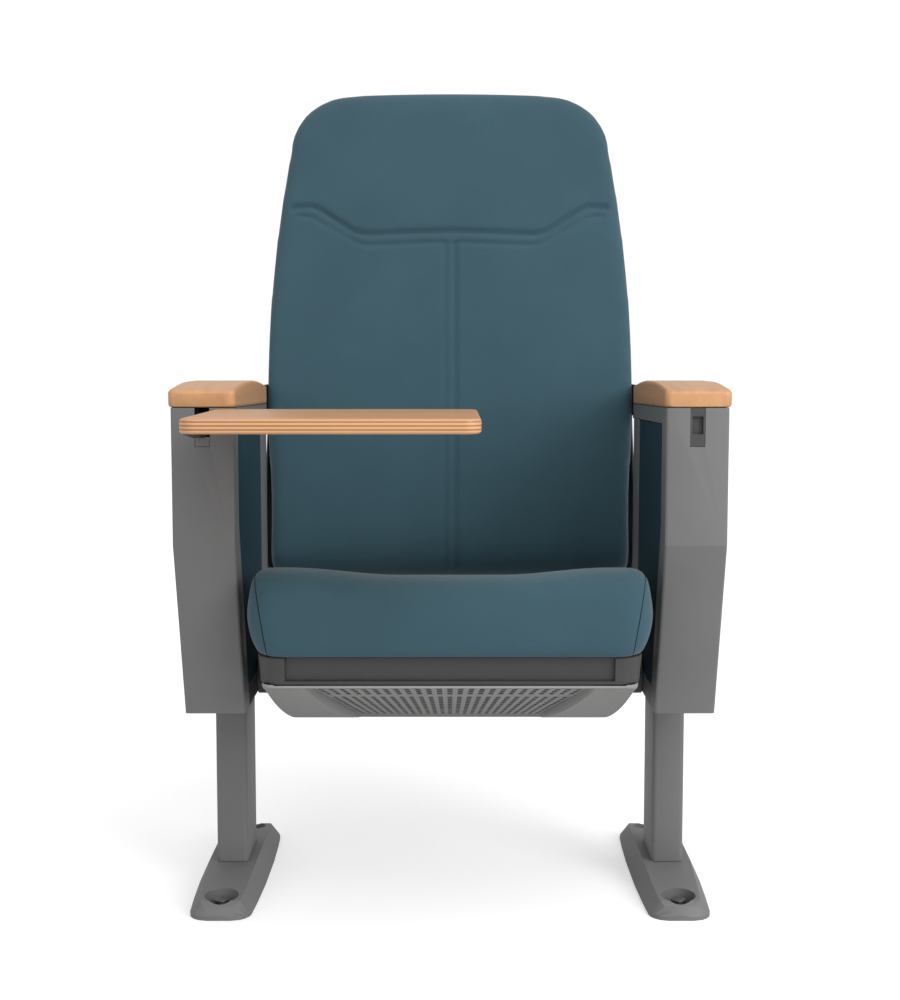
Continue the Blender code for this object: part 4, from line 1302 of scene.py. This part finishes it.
        bmesh.ops.recalc_face_normals(bm, faces=bm.faces)
        bm.to_mesh(grille.data)
        bm.free()
        return grille

    def build_shade_sheet(self) -> Object:
        """A near-black sheet laid under the tray's sunk middle: painted shade for the dark inside of
        the seat seen through the slots.
        """
        rings = []
        start, end = self.front + 0.0125, self.rear - 0.047
        for i in range(21):
            y = start + (end - start) * i / 20
            half = self.vent_half(y) - 0.001
            top = self.vent_floor(y) - 0.0003
            rings.append([(x, behind(y), z) for x, z in ((-half, top - 0.001), (half, top - 0.001),
                                                         (half, top), (-half, top))])
        return as_object("vent_shade_sheet", loft(rings), "painted_shade_black")

    def top(self, x: float, y: float) -> float:
        """Height of the pad's top.

        Args:
            x: the distance from the middle.
            y: the depth behind the armrests' front ends.

        Returns:
            The height above the floor.
        """
        stations = ((-0.036, -0.016), (-0.022, -0.0085), (-0.008, -0.002), (0.010, 0.0),
                    (0.050, -0.0080), (0.140, -0.0250), (0.240, -0.0440), (0.330, -0.0610))
        depths, heights = zip(*stations)
        height = float(np.interp(y, depths, heights))
        dish = self.dish * (1 - smoothstep(*self.dish_span, abs(x)))
        return self.crest + height - dish * smoothstep(-0.05, 0.0, y)

    def fullness(self, x: float, y: float) -> float:
        """The pad's height at a place as a share of its height at the crest."""
        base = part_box("seat_cushion")[0][2]
        return (self.top(x, y) - base) / (self.crest - base)

    def build_pad(self) -> None:
        """The pad: sides that lean out to a bulge, a rolled front and a dished top."""
        low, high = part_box("seat_cushion")
        base = low[2]
        rings = []
        sides = ((0.0, 0.0140, 0.0030), (0.003, 0.0125, 0.0022), (0.012, 0.0080, 0.0010),
                 (0.024, 0.0040, 0.0004), (0.036, 0.0012, 0.0), (0.048, 0.0, 0.0),
                 (0.060, 0.0012, 0.0006), (0.070, 0.0032, 0.0024))
        front, rear = self.front - self.overhang[0], self.rear + self.overhang[1]
        middle = (front + rear) / 2
        plan = densify(rounded_rectangle(-self.bulge, self.bulge, front, rear, self.pad_corner, 8),
                       0.014)
        for rise, pull, front_pull in sides:
            across = 1 - pull / self.bulge
            outline = [(x * across, y + (front_pull if y < middle else -0.4 * pull))
                       for x, y in plan]
            rings.append([(x, behind(y), base + rise * self.fullness(x, y)) for x, y in outline])
        rise = sides[-1][0]
        for inwards in (0.0015, 0.004, 0.008, 0.014, 0.024, 0.045, 0.075, 0.105, 0.135, 0.155):
            ring = []
            for x, y in outline:
                across = 1 - inwards / self.bulge
                along = 1 - inwards / ((self.rear - self.front) / 2 + 0.01)
                px, py = x * across, middle + (y - middle) * along
                share = math.sqrt(max(0.0, 1 - (1 - min(1.0, inwards / self.roll)) ** 2))
                edge_top = base + rise * self.fullness(px, py)
                ring.append((px, behind(py), edge_top + (self.top(px, py) - edge_top) * share))
            rings.append(ring)
        pad = as_object("seat_pad", loft(rings, Ends.FAN), "teal_cloth")

        def hold(point: Vector) -> float:
            """Firm where the pad sits on the pan, free above."""
            return 1.0 - 0.85 * smoothstep(base + 0.004, base + 0.030, point.z)

        swell(pad, hold)
        stand_for(pad, "seat_cushion")
        self.build_seams(pad)

    def build_seams(self, pad: Object) -> None:
        """Thin near-black threads along the seams between the front panel and the side gussets of the
        finished pad, as painted shade in their creases.
        """
        bm = bmesh.new()
        bm.from_mesh(pad.data)
        surface = BVHTree.FromBMesh(bm)
        bm.free()
        low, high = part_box("seat_cushion")
        for side, sign in SIDES.items():
            path = []
            heart = Vector((0.0, behind(self.heart[0]), low[2] + self.heart[1]))
            for degrees in range(-50, 91, 4):
                angle = math.radians(degrees)
                x = sign * self.seam_x(heart.z + 0.05 * math.sin(angle))
                out = Vector((0.0, -math.cos(angle), math.sin(angle)))
                start = Vector((x, heart.y, heart.z)) + 0.2 * out
                path.append(surface.ray_cast(start, -out)[0])
            for step in range(1, 26):
                y = heart.y + (high[1] - 0.030 - heart.y) * step / 25
                start = Vector((path[-1].x, y, 0.6))
                path.append(surface.ray_cast(start, Vector((0.0, 0.0, -1.0)))[0])
            path = [place for place in path if place is not None]
            # Painted shade: each seam is a near-black thread that stands for the shade in its sewn
            # crease.
            seam = as_object(f"seat_seam_{side}", thread(path, self.seam_radius), "painted_shade_black", 80.0)
            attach(seam, "seat")

    def seam_x(self, z: float) -> float:
        """Distance of the front seams from the middle at height z."""
        share = min(1.0, max(0.0, (z - self.seam_foot[0]) / self.seam_rise[0]))
        return self.seam_foot[1] + self.seam_rise[1] * share ** 0.9


def main() -> None:
    """Builds the chair's finish piece by piece round its frame."""
    logging.basicConfig(level=logging.INFO, format="%(name)s %(message)s")
    Carried().build()
    for assembly in (Studio(), RigidSet(), Armrests(), Tablet(), BackRest(), Seat()):
        LOG.info("building %s", type(assembly).__name__)
        assembly.build()


if __name__ == "__main__":
    main()
